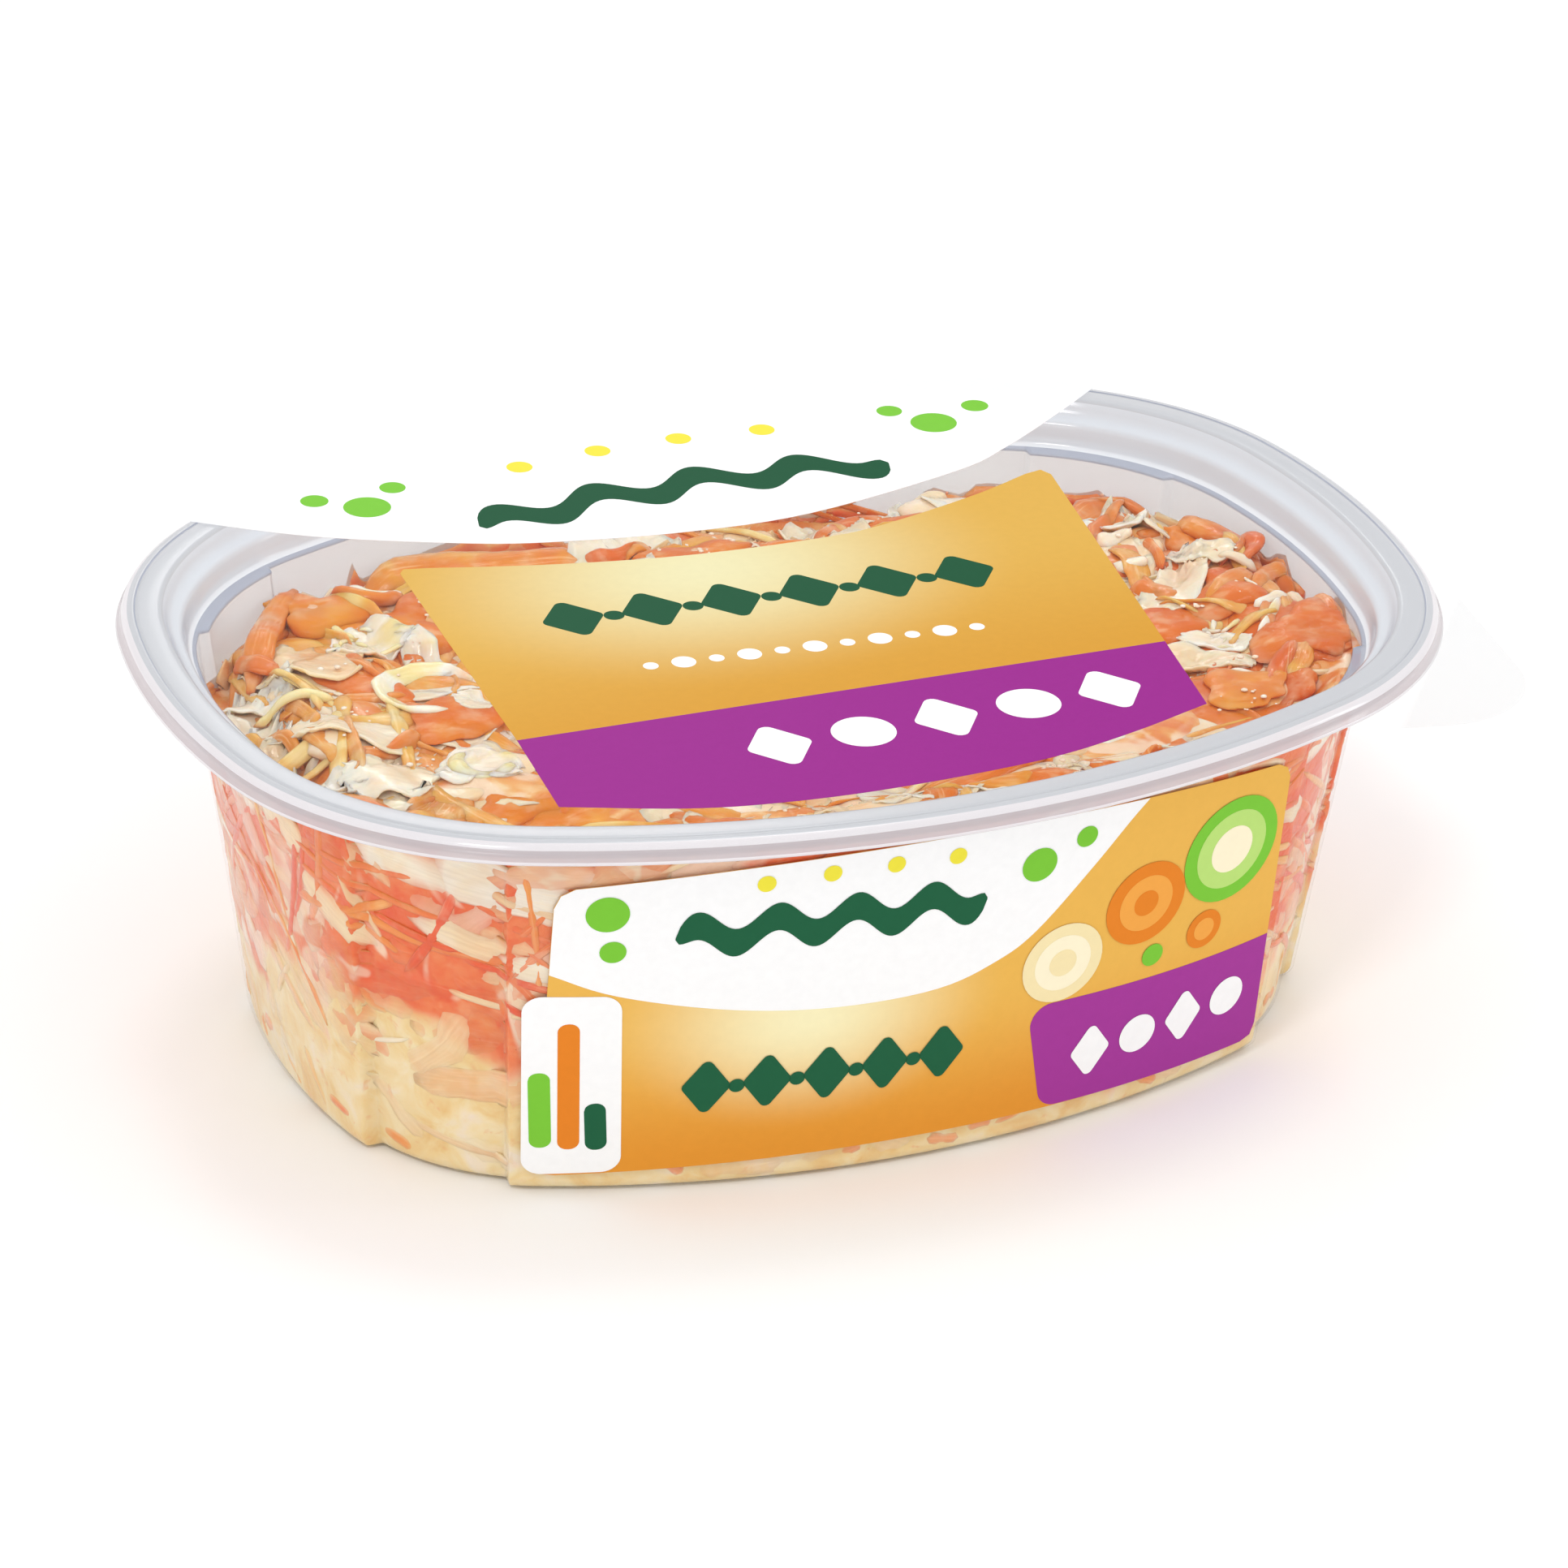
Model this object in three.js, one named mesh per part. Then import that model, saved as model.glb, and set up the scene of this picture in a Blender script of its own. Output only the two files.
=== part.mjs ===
// Coleslaw in its clear plastic tub, sealed with a printed peel-off film.
// Millimetres, +Z up, origin at the centre of the underside of the base.
// +X runs along the length, -Y is the side that carries the label.
import * as THREE from 'three';

// ---------- driving dimensions ----------
const HALF_L = 72.5;        // half length at the lower edge of the rim
const HALF_W = 55.7;        // half width there
const R_SIDE = 125.5;       // radius of the long sides of the plan
const R_END = 90.9;         // radius of the short ends
const R_CORNER = 39.4;      // radius of the four corners
const RIM_Z = 48.7;         // top of the flange
const SKIRT_H = 2.1;        // height of the turned-down skirt
const SKIRT_FLARE = 0.55;   // how far the skirt leans out
const FLANGE_IN = 5.0;      // width of the flange, edge to inner slope
const WALL_T = 0.8;         // wall thickness
const WALL_INSET = 7.5;     // outer wall, inward from the rim edge, at the skirt
const DRAFT = 0.1374;       // lean of the wall, mm per mm of height
const LEDGE_Z = 43.2;       // where the panelled wall begins
const BASE_R = 1.5;         // rounding between wall and base
const RECESS_TOP = 1.0;     // how far the corner panels lie behind the others
const RECESS_LOW = 1.7;
const SEAM_X = 44.4;        // corner panels end here on the long sides, at the base
const SEAM_X_LEAN = 0.06;
const SEAM_Y = 18.5;        // and here on the short ends
const SEAM_Y_LEAN = 0.13;
const SEAM_W = 1.2;         // width of the step between two panels
const GAP = 0.3;            // between pieces that touch
const FILM_T = 0.3;         // sealing film
const FILM_OVER = 0.8;      // film standing out past the rim
const TAB = { x: 56.0, y: -43.4, r: 11.4, from: [69.9, -24.0], to: [37.0, -50.6] };   // peel tab at one corner
const LABEL_T = 0.3;
const LABEL = { left: -42.3, right: 43.6, tag: -44.8, tagTop: 25.8, low: 3.6, top: 42.2, drop: 2.9, r: 2.0 };
const FILL_Z = 39.3;        // mean height of the top of the coleslaw

// ---------- plan shape: four kinds of arc with common centres ----------
const C1 = [0, HALF_W - R_SIDE];
const C2 = [HALF_L - R_END, 0];
const CC = (() => {
  const dx = C2[0] - C1[0], dy = C2[1] - C1[1], L = Math.hypot(dx, dy);
  const r1 = R_SIDE - R_CORNER, r2 = R_END - R_CORNER;
  const a = (r1 * r1 - r2 * r2 + L * L) / (2 * L);
  const h = Math.sqrt(Math.max(r1 * r1 - a * a, 1e-9));
  const mx = C1[0] + a * dx / L, my = C1[1] + a * dy / L;
  let c = [mx - h * dy / L, my + h * dx / L];
  if (c[0] < 0 || c[1] < 0) c = [mx + h * dy / L, my - h * dx / L];
  return c;
})();
const T_END = Math.atan2(CC[1] - C2[1], CC[0] - C2[0]);
const T_SIDE = Math.atan2(CC[1] - C1[1], CC[0] - C1[0]);
const RIGHT_ANGLE = Math.PI / 2;

// point of the first quarter whose outward normal has angle t, at an inward offset
function planPoint(t, off) {
  if (t < T_END) return [C2[0] + (R_END - off) * Math.cos(t), C2[1] + (R_END - off) * Math.sin(t)];
  if (t < T_SIDE) return [CC[0] + (R_CORNER - off) * Math.cos(t), CC[1] + (R_CORNER - off) * Math.sin(t)];
  return [C1[0] + (R_SIDE - off) * Math.cos(t), C1[1] + (R_SIDE - off) * Math.sin(t)];
}
function localRadius(t, off) {
  return (t < T_END ? R_END : t < T_SIDE ? R_CORNER : R_SIDE) - off;
}
function findAngle(test) {
  let lo = 0, hi = RIGHT_ANGLE;
  for (let i = 0; i < 50; i++) {
    const m = (lo + hi) / 2;
    if (test(m)) hi = m; else lo = m;
  }
  return (lo + hi) / 2;
}
const smooth = (u) => { const v = Math.min(Math.max(u, 0), 1); return v * v * (3 - 2 * v); };

// one ring of 96 points; the corner panels are set back by `recess`
function ring(off, z, recess = 0, zAt = null) {
  const ys = SEAM_Y + SEAM_Y_LEAN * z, xs = SEAM_X + SEAM_X_LEAN * z;
  const ta = findAngle((t) => planPoint(t, off)[1] > ys);
  const tb = findAngle((t) => planPoint(t, off)[0] < xs);
  const da = SEAM_W / localRadius(ta, off), db = SEAM_W / localRadius(tb, off);
  const ts = [];
  const span = (a, b, n, wa, wb) => {
    for (let i = 0; i < n; i++) ts.push([a + (b - a) * i / n, wa + (wb - wa) * smooth(i / n)]);
  };
  span(0, ta, 6, 0, 0);
  span(ta, ta + da, 2, 0, 1);
  span(ta + da, tb - db, 8, 1, 1);
  span(tb - db, tb, 2, 1, 0);
  span(tb, RIGHT_ANGLE, 6, 0, 0);
  const quarter = ts.map(([t, w]) => planPoint(t, off + recess * w));
  const last = planPoint(RIGHT_ANGLE, off);
  const pts = [];
  for (const [x, y] of quarter) pts.push([x, y]);
  pts.push(last);
  for (let i = quarter.length - 1; i >= 1; i--) pts.push([-quarter[i][0], quarter[i][1]]);
  for (let i = 0; i < quarter.length; i++) pts.push([-quarter[i][0], -quarter[i][1]]);
  pts.push([last[0], -last[1]]);
  for (let i = quarter.length - 1; i >= 1; i--) pts.push([quarter[i][0], -quarter[i][1]]);
  return pts.map(([x, y]) => [x, y, zAt ? zAt(x, y) : z]);
}

// closed body through a list of rings with the same number of points each
function loft(rings, closeAsFans = true) {
  const n = rings[0].length, pos = [], idx = [];
  for (const r of rings) for (const p of r) pos.push(p[0], p[1], p[2]);
  for (let k = 0; k + 1 < rings.length; k++) {
    for (let i = 0; i < n; i++) {
      const j = (i + 1) % n, a = k * n + i, b = k * n + j, c = (k + 1) * n + i, d = (k + 1) * n + j;
      idx.push(a, b, d, a, d, c);
    }
  }
  const cap = (base, flip) => {
    if (!closeAsFans) {
      for (let i = 1; i + 1 < n; i++) flip ? idx.push(base, base + i + 1, base + i) : idx.push(base, base + i, base + i + 1);
      return;
    }
    let x = 0, y = 0, z = 0;
    for (let i = 0; i < n; i++) { x += pos[3 * (base + i)] / n; y += pos[3 * (base + i) + 1] / n; z += pos[3 * (base + i) + 2] / n; }
    const c = pos.length / 3;
    pos.push(x, y, z);
    for (let i = 0; i < n; i++) {
      const j = (i + 1) % n;
      flip ? idx.push(c, base + j, base + i) : idx.push(c, base + i, base + j);
    }
  };
  cap(0, true);
  cap((rings.length - 1) * n, false);
  const g = new THREE.BufferGeometry();
  g.setAttribute('position', new THREE.Float32BufferAttribute(pos, 3));
  g.setIndex(idx);
  g.computeVertexNormals();
  return g;
}

const wallOff = (z) => WALL_INSET + DRAFT * (RIM_Z - SKIRT_H - z);
const recessAt = (z) => RECESS_LOW + (RECESS_TOP - RECESS_LOW) * z / LEDGE_Z;

// ---------- tub ----------
function tubRings() {
  const r = [];
  const lip = RIM_Z - SKIRT_H;
  // underside of the base, outward
  r.push(ring(wallOff(0) + BASE_R, 0, recessAt(0)));
  r.push(ring(wallOff(0) + 0.35 * BASE_R, 0.4, recessAt(0)));
  // outer wall, upward
  for (const z of [BASE_R, 12, 24, 34, LEDGE_Z - 0.9]) r.push(ring(wallOff(z), z, recessAt(z)));
  r.push(ring(wallOff(LEDGE_Z), LEDGE_Z));
  // slope, underside of the flange, inside of the skirt
  r.push(ring(FLANGE_IN - 0.6, RIM_Z - WALL_T));
  r.push(ring(SKIRT_FLARE + WALL_T, RIM_Z - WALL_T));
  r.push(ring(WALL_T, lip));
  // lip, outside of the skirt, top of the flange
  r.push(ring(0, lip));
  r.push(ring(SKIRT_FLARE, RIM_Z - 0.45));
  r.push(ring(SKIRT_FLARE + 0.4, RIM_Z));
  r.push(ring(FLANGE_IN, RIM_Z));
  // inner slope down to the ledge, inner wall, floor
  r.push(ring(wallOff(LEDGE_Z) + WALL_T, LEDGE_Z + 0.35));
  for (const z of [LEDGE_Z - 0.6, 34, 24, 12, BASE_R + WALL_T]) r.push(ring(wallOff(z) + WALL_T, z, recessAt(z)));
  r.push(ring(wallOff(0) + WALL_T + BASE_R, WALL_T, recessAt(0)));
  return r;
}

// ---------- coleslaw: one solid out to its uneven outline ----------
function heapTop(x, y) {
  const q = Math.hypot(x / 60, y / 44);
  return FILL_Z + 1.1 * (1 - smooth(q))
    + 0.9 * Math.sin(x * 0.115 + 1.3) * Math.cos(y * 0.14 + 0.4)
    + 0.55 * Math.sin(x * 0.24 - y * 0.2 + 0.7)
    + 0.4 * Math.cos(x * 0.37 + y * 0.33)
    - 0.9 * smooth((q - 0.7) / 0.3);
}
function slawRings() {
  const r = [], gap = WALL_T + GAP;
  r.push(ring(wallOff(0) + gap + BASE_R, gap, recessAt(0)));
  for (const z of [BASE_R + gap, 13, 25, 34]) r.push(ring(wallOff(z) + gap, z, recessAt(z)));
  const edge = wallOff(38) + gap;
  r.push(ring(edge + 0.15, 38, recessAt(38), heapTop));
  for (const [step, z] of [[3.5, 38], [9, 38], [16, 38], [23.5, 38], [31, 38]]) {
    r.push(fadeRing(edge + step, recessAt(z) * Math.max(0, 1 - step / 12)));
  }
  return r;
}
// rings of the top surface keep their corners round while they shrink
function fadeRing(off, recess) {
  const outer = ring(wallOff(38) + WALL_T + GAP, 38, recess);
  const k = (HALF_L - off) / (HALF_L - wallOff(38) - WALL_T - GAP);
  return outer.map(([x, y]) => [x * k, y * k, heapTop(x * k, y * k)]);
}

// ---------- film: outline of the rim joined with a round peel tab ----------
function convexHull(points) {
  const p = points.slice().sort((a, b) => a[0] - b[0] || a[1] - b[1]);
  const cross = (o, a, b) => (a[0] - o[0]) * (b[1] - o[1]) - (a[1] - o[1]) * (b[0] - o[0]);
  const half = (list) => {
    const h = [];
    for (const q of list) {
      while (h.length > 1 && cross(h[h.length - 2], h[h.length - 1], q) <= 1e-9) h.pop();
      h.push(q);
    }
    h.pop();
    return h;
  };
  return half(p).concat(half(p.slice().reverse()));
}
// farthest distance from the origin to a closed outline in direction t
function reach(outline, t) {
  const c = Math.cos(t), s = Math.sin(t);
  let best = 0;
  for (let i = 0; i < outline.length; i++) {
    const [x0, y0] = outline[i], [x1, y1] = outline[(i + 1) % outline.length];
    const u0 = x0 * s - y0 * c, u1 = x1 * s - y1 * c;
    if (u0 * u1 > 0 || u0 === u1) continue;
    const k = u0 / (u0 - u1);
    best = Math.max(best, (x0 + (x1 - x0) * k) * c + (y0 + (y1 - y0) * k) * s);
  }
  return best;
}
function filmOutline() {
  const rim = ring(-FILM_OVER, 0).map(([x, y]) => [x, y]);
  const lobe = [[0, 0], TAB.from, TAB.to];
  for (let i = 0; i < 48; i++) {
    const t = 2 * Math.PI * i / 48;
    lobe.push([TAB.x + TAB.r * Math.cos(t), TAB.y + TAB.r * Math.sin(t)]);
  }
  const tab = convexHull(lobe), pts = [];
  const steps = [];
  for (let d = 0; d < 306; d += 3) steps.push(d);
  for (let d = 306; d < 345; d += 0.9) steps.push(d);
  for (let d = 345; d < 360; d += 3) steps.push(d);
  for (const d of steps) {
    const t = d * Math.PI / 180, r = Math.max(reach(rim, t), reach(tab, t));
    pts.push([r * Math.cos(t), r * Math.sin(t)]);
  }
  return pts;
}

// ---------- label on the front wall ----------
function frontWall(x, z, out) {
  const r = R_SIDE - wallOff(z) + out;
  return [x, -(C1[1] + Math.sqrt(r * r - x * x)), z];
}
function labelRings() {
  const xs = [LABEL.tag, LABEL.tag + 0.6, LABEL.tag + 1.5, LABEL.left - 0.25, LABEL.left];
  for (let i = 1; i <= 26; i++) xs.push(LABEL.left + (LABEL.right - LABEL.left) * i / 26);
  const r = [];
  for (const x of xs) {
    const onTag = x < LABEL.left - 0.1;
    const edge = Math.min(onTag ? x - LABEL.tag : x - LABEL.left, LABEL.right - x);
    const round = edge < LABEL.r ? LABEL.r - Math.sqrt(Math.max(LABEL.r ** 2 - (LABEL.r - edge) ** 2, 0)) : 0;
    const top = (onTag ? LABEL.tagTop : LABEL.top - LABEL.drop * (x / HALF_L * 1.7) ** 2) - 0.9 * round;
    const low = LABEL.low - 1.2 * (x / 44) ** 2 + 0.9 * (x < LABEL.left || LABEL.right - x < LABEL.r ? round : 0);
    r.push([frontWall(x, low, GAP), frontWall(x, top, GAP), frontWall(x, top, GAP + LABEL_T), frontWall(x, low, GAP + LABEL_T)]);
  }
  return r;
}

// ---------- assemble ----------
const model = new THREE.Group();
function add(name, geometry, color, roughness, extra = {}) {
  const m = new THREE.Mesh(geometry, new THREE.MeshStandardMaterial({ color, roughness, metalness: 0, ...extra }));
  m.name = name;
  model.add(m);
  return m;
}
add('tub', loft(tubRings()), 0xdfe1e4, 0.3, { transparent: true, opacity: 0.5 });
add('coleslaw', loft(slawRings()), 0xe6b585, 0.5);

const filmShape = new THREE.Shape(filmOutline().map(([x, y]) => new THREE.Vector2(x, y)));
const film = add('film', new THREE.ExtrudeGeometry(filmShape, { depth: FILM_T, bevelEnabled: false, steps: 1 }), 0xf2f2f2, 0.25);
film.position.z = RIM_Z + GAP;

add('label_front', loft(labelRings(), false), 0xe8b250, 0.45);

export default model;
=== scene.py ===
import math
import bpy
import numpy as np
from mathutils import Matrix, Vector


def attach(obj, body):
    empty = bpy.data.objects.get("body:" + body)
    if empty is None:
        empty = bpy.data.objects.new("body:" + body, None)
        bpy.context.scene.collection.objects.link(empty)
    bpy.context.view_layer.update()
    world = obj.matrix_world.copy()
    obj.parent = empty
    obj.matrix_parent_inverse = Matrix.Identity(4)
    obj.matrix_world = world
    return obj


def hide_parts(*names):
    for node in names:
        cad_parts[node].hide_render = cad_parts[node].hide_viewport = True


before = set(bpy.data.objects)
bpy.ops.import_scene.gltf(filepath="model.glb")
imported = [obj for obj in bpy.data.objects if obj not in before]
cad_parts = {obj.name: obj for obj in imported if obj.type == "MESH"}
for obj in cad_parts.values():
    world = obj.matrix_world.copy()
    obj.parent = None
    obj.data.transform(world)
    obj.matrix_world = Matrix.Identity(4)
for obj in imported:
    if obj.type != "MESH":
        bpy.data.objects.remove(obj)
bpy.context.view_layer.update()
rng = np.random.default_rng(4127)
MM = 0.001

# ------------------------------------------------------------------ sizes, mm
HALF_L, HALF_W = 72.5, 55.7
R_SIDE, R_END, R_CORNER = 125.5, 90.9, 39.4
RIM_Z = 48.85
SKIRT_H, SKIRT_FLARE = 2.1, 0.55
FLANGE_IN = 5.0
WALL_T = 0.8
WALL_INSET, DRAFT = 7.5, 0.1374
SKIRT_Z = 46.6
LEDGE_Z = 43.2
LEDGE_TOP = 43.65
BASE_R = 1.5
RECESS_TOP, RECESS_LOW = 1.0, 1.7
SEAM_X, SEAM_X_LEAN = 44.4, 0.06
SEAM_Y, SEAM_Y_LEAN = 18.5, 0.13
SEAM_W = 0.9
FILM_Z = 48.93
FILM_T = 0.1
FILM_OVER = 0.8
TAB = (56.0, -43.4, 11.4)
TAB_FROM, TAB_TO = (69.9, -24.0), (37.0, -50.6)
CORE_IN = 0.36          # the contents reach this far into the wall
FILL_Z = 39.3


# ------------------------------------------------------------------ plan shape
C1 = np.array([0.0, HALF_W - R_SIDE])
C2 = np.array([HALF_L - R_END, 0.0])


def corner_centre():
    d = C2 - C1
    dist = np.hypot(*d)
    r1, r2 = R_SIDE - R_CORNER, R_END - R_CORNER
    a = (r1 * r1 - r2 * r2 + dist * dist) / (2 * dist)
    h = math.sqrt(max(r1 * r1 - a * a, 1e-9))
    m = C1 + a * d / dist
    n = np.array([-d[1], d[0]]) / dist
    c = m + h * n
    if c[0] < 0 or c[1] < 0:
        c = m - h * n
    return c


CC = corner_centre()
T_END = math.atan2(CC[1] - C2[1], CC[0] - C2[0])
T_SIDE = math.atan2(CC[1] - C1[1], CC[0] - C1[0])
HALF_PI = math.pi / 2


def smooth(u):
    v = np.clip(u, 0.0, 1.0)
    return v * v * (3 - 2 * v)


def quarter_point(t, off):
    t = np.asarray(t, float)
    off = np.broadcast_to(np.asarray(off, float), t.shape)
    cx = np.where(t < T_END, C2[0], np.where(t < T_SIDE, CC[0], C1[0]))
    cy = np.where(t < T_END, C2[1], np.where(t < T_SIDE, CC[1], C1[1]))
    r = np.where(t < T_END, R_END, np.where(t < T_SIDE, R_CORNER, R_SIDE)) - off
    return cx + r * np.cos(t), cy + r * np.sin(t)


def wall_off(z):
    return WALL_INSET + DRAFT * (SKIRT_Z - z)


def find_t(test):
    lo, hi = 0.0, HALF_PI
    for _ in range(40):
        m = (lo + hi) / 2
        if test(m):
            hi = m
        else:
            lo = m
    return (lo + hi) / 2


SEAM_Z = np.linspace(0, LEDGE_Z + 1.5, 24)
SEAM_TA = np.array([find_t(lambda t: quarter_point(t, wall_off(z))[1] > SEAM_Y + SEAM_Y_LEAN * z) for z in SEAM_Z])
SEAM_TB = np.array([find_t(lambda t: quarter_point(t, wall_off(z))[0] < SEAM_X + SEAM_X_LEAN * z) for z in SEAM_Z])


def seam_weight(t, z):
    """1 on a set-back corner panel, 0 on the four main panels."""
    z = np.clip(z, 0, LEDGE_Z + 1.5)
    ta, tb = np.interp(z, SEAM_Z, SEAM_TA), np.interp(z, SEAM_Z, SEAM_TB)
    off = wall_off(z)
    da = SEAM_W / (np.where(ta < T_END, R_END, R_CORNER) - off)
    db = SEAM_W / (np.where(tb < T_SIDE, R_CORNER, R_SIDE) - off)
    return smooth((t - ta) / da) * smooth((tb - t) / db)


def fold(phi):
    """Normal angle round the whole plan -> angle in the first quarter and the two signs."""
    phi = np.mod(np.asarray(phi, float), 2 * math.pi)
    q = np.floor(phi / HALF_PI).astype(int)
    r = phi - q * HALF_PI
    t = np.where(q % 2 == 0, r, HALF_PI - r)
    sx = np.where((q == 0) | (q == 3), 1.0, -1.0)
    sy = np.where(q < 2, 1.0, -1.0)
    return t, sx, sy


def plan(phi, off):
    t, sx, sy = fold(phi)
    x, y = quarter_point(t, off)
    return sx * x, sy * y


def recess(phi, z, amount=None):
    t, _, _ = fold(phi)
    z = np.asarray(z, float)
    depth = RECESS_LOW + (RECESS_TOP - RECESS_LOW) * np.clip(z, 0, LEDGE_Z) / LEDGE_Z if amount is None else amount
    fade = 1 - smooth((z - LEDGE_TOP) / 0.5)
    return depth * fade * seam_weight(t, z)


def foot(z):
    """Rounding between wall and base."""
    z = np.asarray(z, float)
    k = np.clip(BASE_R - z, 0, BASE_R)
    return BASE_R - np.sqrt(np.maximum(BASE_R ** 2 - k ** 2, 0))


def wall_point(phi, z, inward):
    off = wall_off(z) + inward + recess(phi, z) + foot(z)
    x, y = plan(phi, off)
    return np.stack([x, y, np.broadcast_to(z, x.shape)], -1)


def inside_off(x, y):
    """Distance of a point inside the rim's outline, and its normal angle."""
    ax, ay = np.abs(x), np.abs(y)
    te = np.arctan2(ay - C2[1], ax - C2[0])
    ts = np.arctan2(ay - C1[1], ax - C1[0])
    tc = np.clip(np.arctan2(ay - CC[1], ax - CC[0]), T_END, T_SIDE)
    tc = np.where((ax < CC[0]) & (ay < CC[1]), 0.5 * (T_END + T_SIDE), tc)
    off = np.where(te < T_END, R_END - np.hypot(ax - C2[0], ay - C2[1]),
                   np.where(ts > T_SIDE, R_SIDE - np.hypot(ax - C1[0], ay - C1[1]),
                            R_CORNER - np.hypot(ax - CC[0], ay - CC[1])))
    t = np.where(te < T_END, te, np.where(ts > T_SIDE, ts, tc))
    return off, t


def keep_inside(x, y, z, margin):
    off, t = inside_off(x, y)
    lim = wall_off(z) + WALL_T + margin + recess_t(t, z)
    out = off < lim
    px, py = quarter_point(t, lim)
    return np.where(out, np.sign(x) * px, x), np.where(out, np.sign(y) * py, y)


def recess_t(t, z):
    depth = RECESS_LOW + (RECESS_TOP - RECESS_LOW) * np.clip(z, 0, LEDGE_Z) / LEDGE_Z
    return depth * (1 - smooth((np.asarray(z, float) - LEDGE_TOP) / 0.5)) * seam_weight(t, z)


def phi_grid():
    """A fixed set of normal angles, dense where a seam can lie."""
    ta0, ta1 = SEAM_TA.min() - 0.01, SEAM_TA.max() + 0.05
    tb0, tb1 = SEAM_TB.min() - 0.03, SEAM_TB.max() + 0.01
    ts = np.concatenate([
        np.linspace(0, ta0, 10, endpoint=False), np.linspace(ta0, ta1, 26, endpoint=False),
        np.linspace(ta1, tb0, 22, endpoint=False), np.linspace(tb0, tb1, 22, endpoint=False),
        np.linspace(tb1, HALF_PI, 14, endpoint=False)])
    q1 = ts
    q2 = math.pi - ts[::-1][:-1]
    q2 = np.concatenate([[HALF_PI], q2])
    q3 = math.pi + ts
    q4 = 2 * math.pi - ts[::-1][:-1]
    q4 = np.concatenate([[1.5 * math.pi], q4])
    return np.concatenate([q1, q2, q3, q4])


PHI = phi_grid()


# ------------------------------------------------------------------ noise
_tab = rng.random((64, 64, 64)).astype(np.float32)


def noise3(p, scale):
    """Value noise of points in mm, about -1 to 1."""
    q = np.asarray(p, float) / scale + 137.0
    i = np.floor(q).astype(int)
    f = q - i
    f = f * f * (3 - 2 * f)
    out = 0
    for dx in (0, 1):
        for dy in (0, 1):
            for dz in (0, 1):
                w = (f[..., 0] if dx else 1 - f[..., 0]) * (f[..., 1] if dy else 1 - f[..., 1]) * (f[..., 2] if dz else 1 - f[..., 2])
                out = out + w * _tab[(i[..., 0] + dx) % 64, (i[..., 1] + dy) % 64, (i[..., 2] + dz) % 64]
    return out * 2 - 1


# ------------------------------------------------------------------ mesh helpers
def make_object(name, verts, quads=None, tris=None, materials=(), index=None, smooth_shade=True, attrs=None):
    verts = np.asarray(verts, float) * MM
    me = bpy.data.meshes.new(name)
    me.vertices.add(len(verts))
    me.vertices.foreach_set("co", verts.astype(np.float32).ravel())
    parts, starts, totals, n = [], [], [], 0
    for faces, k in ((quads, 4), (tris, 3)):
        if faces is not None and len(faces):
            f = np.asarray(faces, np.int32).reshape(-1, k)
            parts.append(f.ravel())
            starts.append(n + np.arange(len(f)) * k)
            totals.append(np.full(len(f), k))
            n += f.size
    loops = np.concatenate(parts)
    me.loops.add(len(loops))
    me.loops.foreach_set("vertex_index", loops.astype(np.int32))
    starts, totals = np.concatenate(starts).astype(np.int32), np.concatenate(totals).astype(np.int32)
    me.polygons.add(len(starts))
    me.polygons.foreach_set("loop_start", starts)
    me.polygons.foreach_set("loop_total", totals)
    if index is not None:
        me.polygons.foreach_set("material_index", np.asarray(index, np.int32))
    me.polygons.foreach_set("use_smooth", np.full(len(starts), smooth_shade))
    for m in materials:
        me.materials.append(m)
    for key, val in (attrs or {}).items():
        a = me.attributes.new(key, "FLOAT", "POINT")
        a.data.foreach_set("value", np.asarray(val, np.float32))
    me.update(calc_edges=True)
    me.validate()
    ob = bpy.data.objects.new(name, me)
    bpy.context.scene.collection.objects.link(ob)
    return ob


def loft(rings, cap_start=True, cap_end=True):
    """Closed body through rings of equal length; faces point out when the rings turn counter-clockwise and rise."""
    n = len(rings[0])
    v = np.concatenate([np.asarray(r, float) for r in rings])
    i = np.arange(n)
    j = (i + 1) % n
    quads = []
    for k in range(len(rings) - 1):
        a, b = k * n, (k + 1) * n
        quads.append(np.stack([a + i, a + j, b + j, b + i], 1))
    quads = np.concatenate(quads)
    tris = []
    extra = []
    if cap_start:
        extra.append(np.mean(rings[0], 0))
        c = len(v) + len(extra) - 1
        tris.append(np.stack([np.full(n, c), j, i], 1))
    if cap_end:
        extra.append(np.mean(rings[-1], 0))
        c = len(v) + len(extra) - 1
        b = (len(rings) - 1) * n
        tris.append(np.stack([np.full(n, c), b + i, b + j], 1))
    if extra:
        v = np.concatenate([v, np.array(extra)])
    return v, quads, (np.concatenate(tris) if tris else None)


# ------------------------------------------------------------------ node helpers
def new_material(name):
    m = bpy.data.materials.new(name)
    m.use_nodes = True
    nt = m.node_tree
    nt.nodes.clear()
    out = nt.nodes.new("ShaderNodeOutputMaterial")
    bsdf = nt.nodes.new("ShaderNodeBsdfPrincipled")
    nt.links.new(bsdf.outputs[0], out.inputs[0])
    return m, nt, bsdf


def lin(r, g, b):
    """sRGB 0-255 to linear."""
    def f(c):
        c /= 255.0
        return c / 12.92 if c <= 0.04045 else ((c + 0.055) / 1.055) ** 2.4
    return (f(r), f(g), f(b), 1.0)


def node(nt, kind, **kw):
    n = nt.nodes.new(kind)
    for k, v in kw.items():
        setattr(n, k, v)
    return n


def coords(nt):
    return nt.nodes.new("ShaderNodeTexCoord").outputs["Object"]


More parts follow.
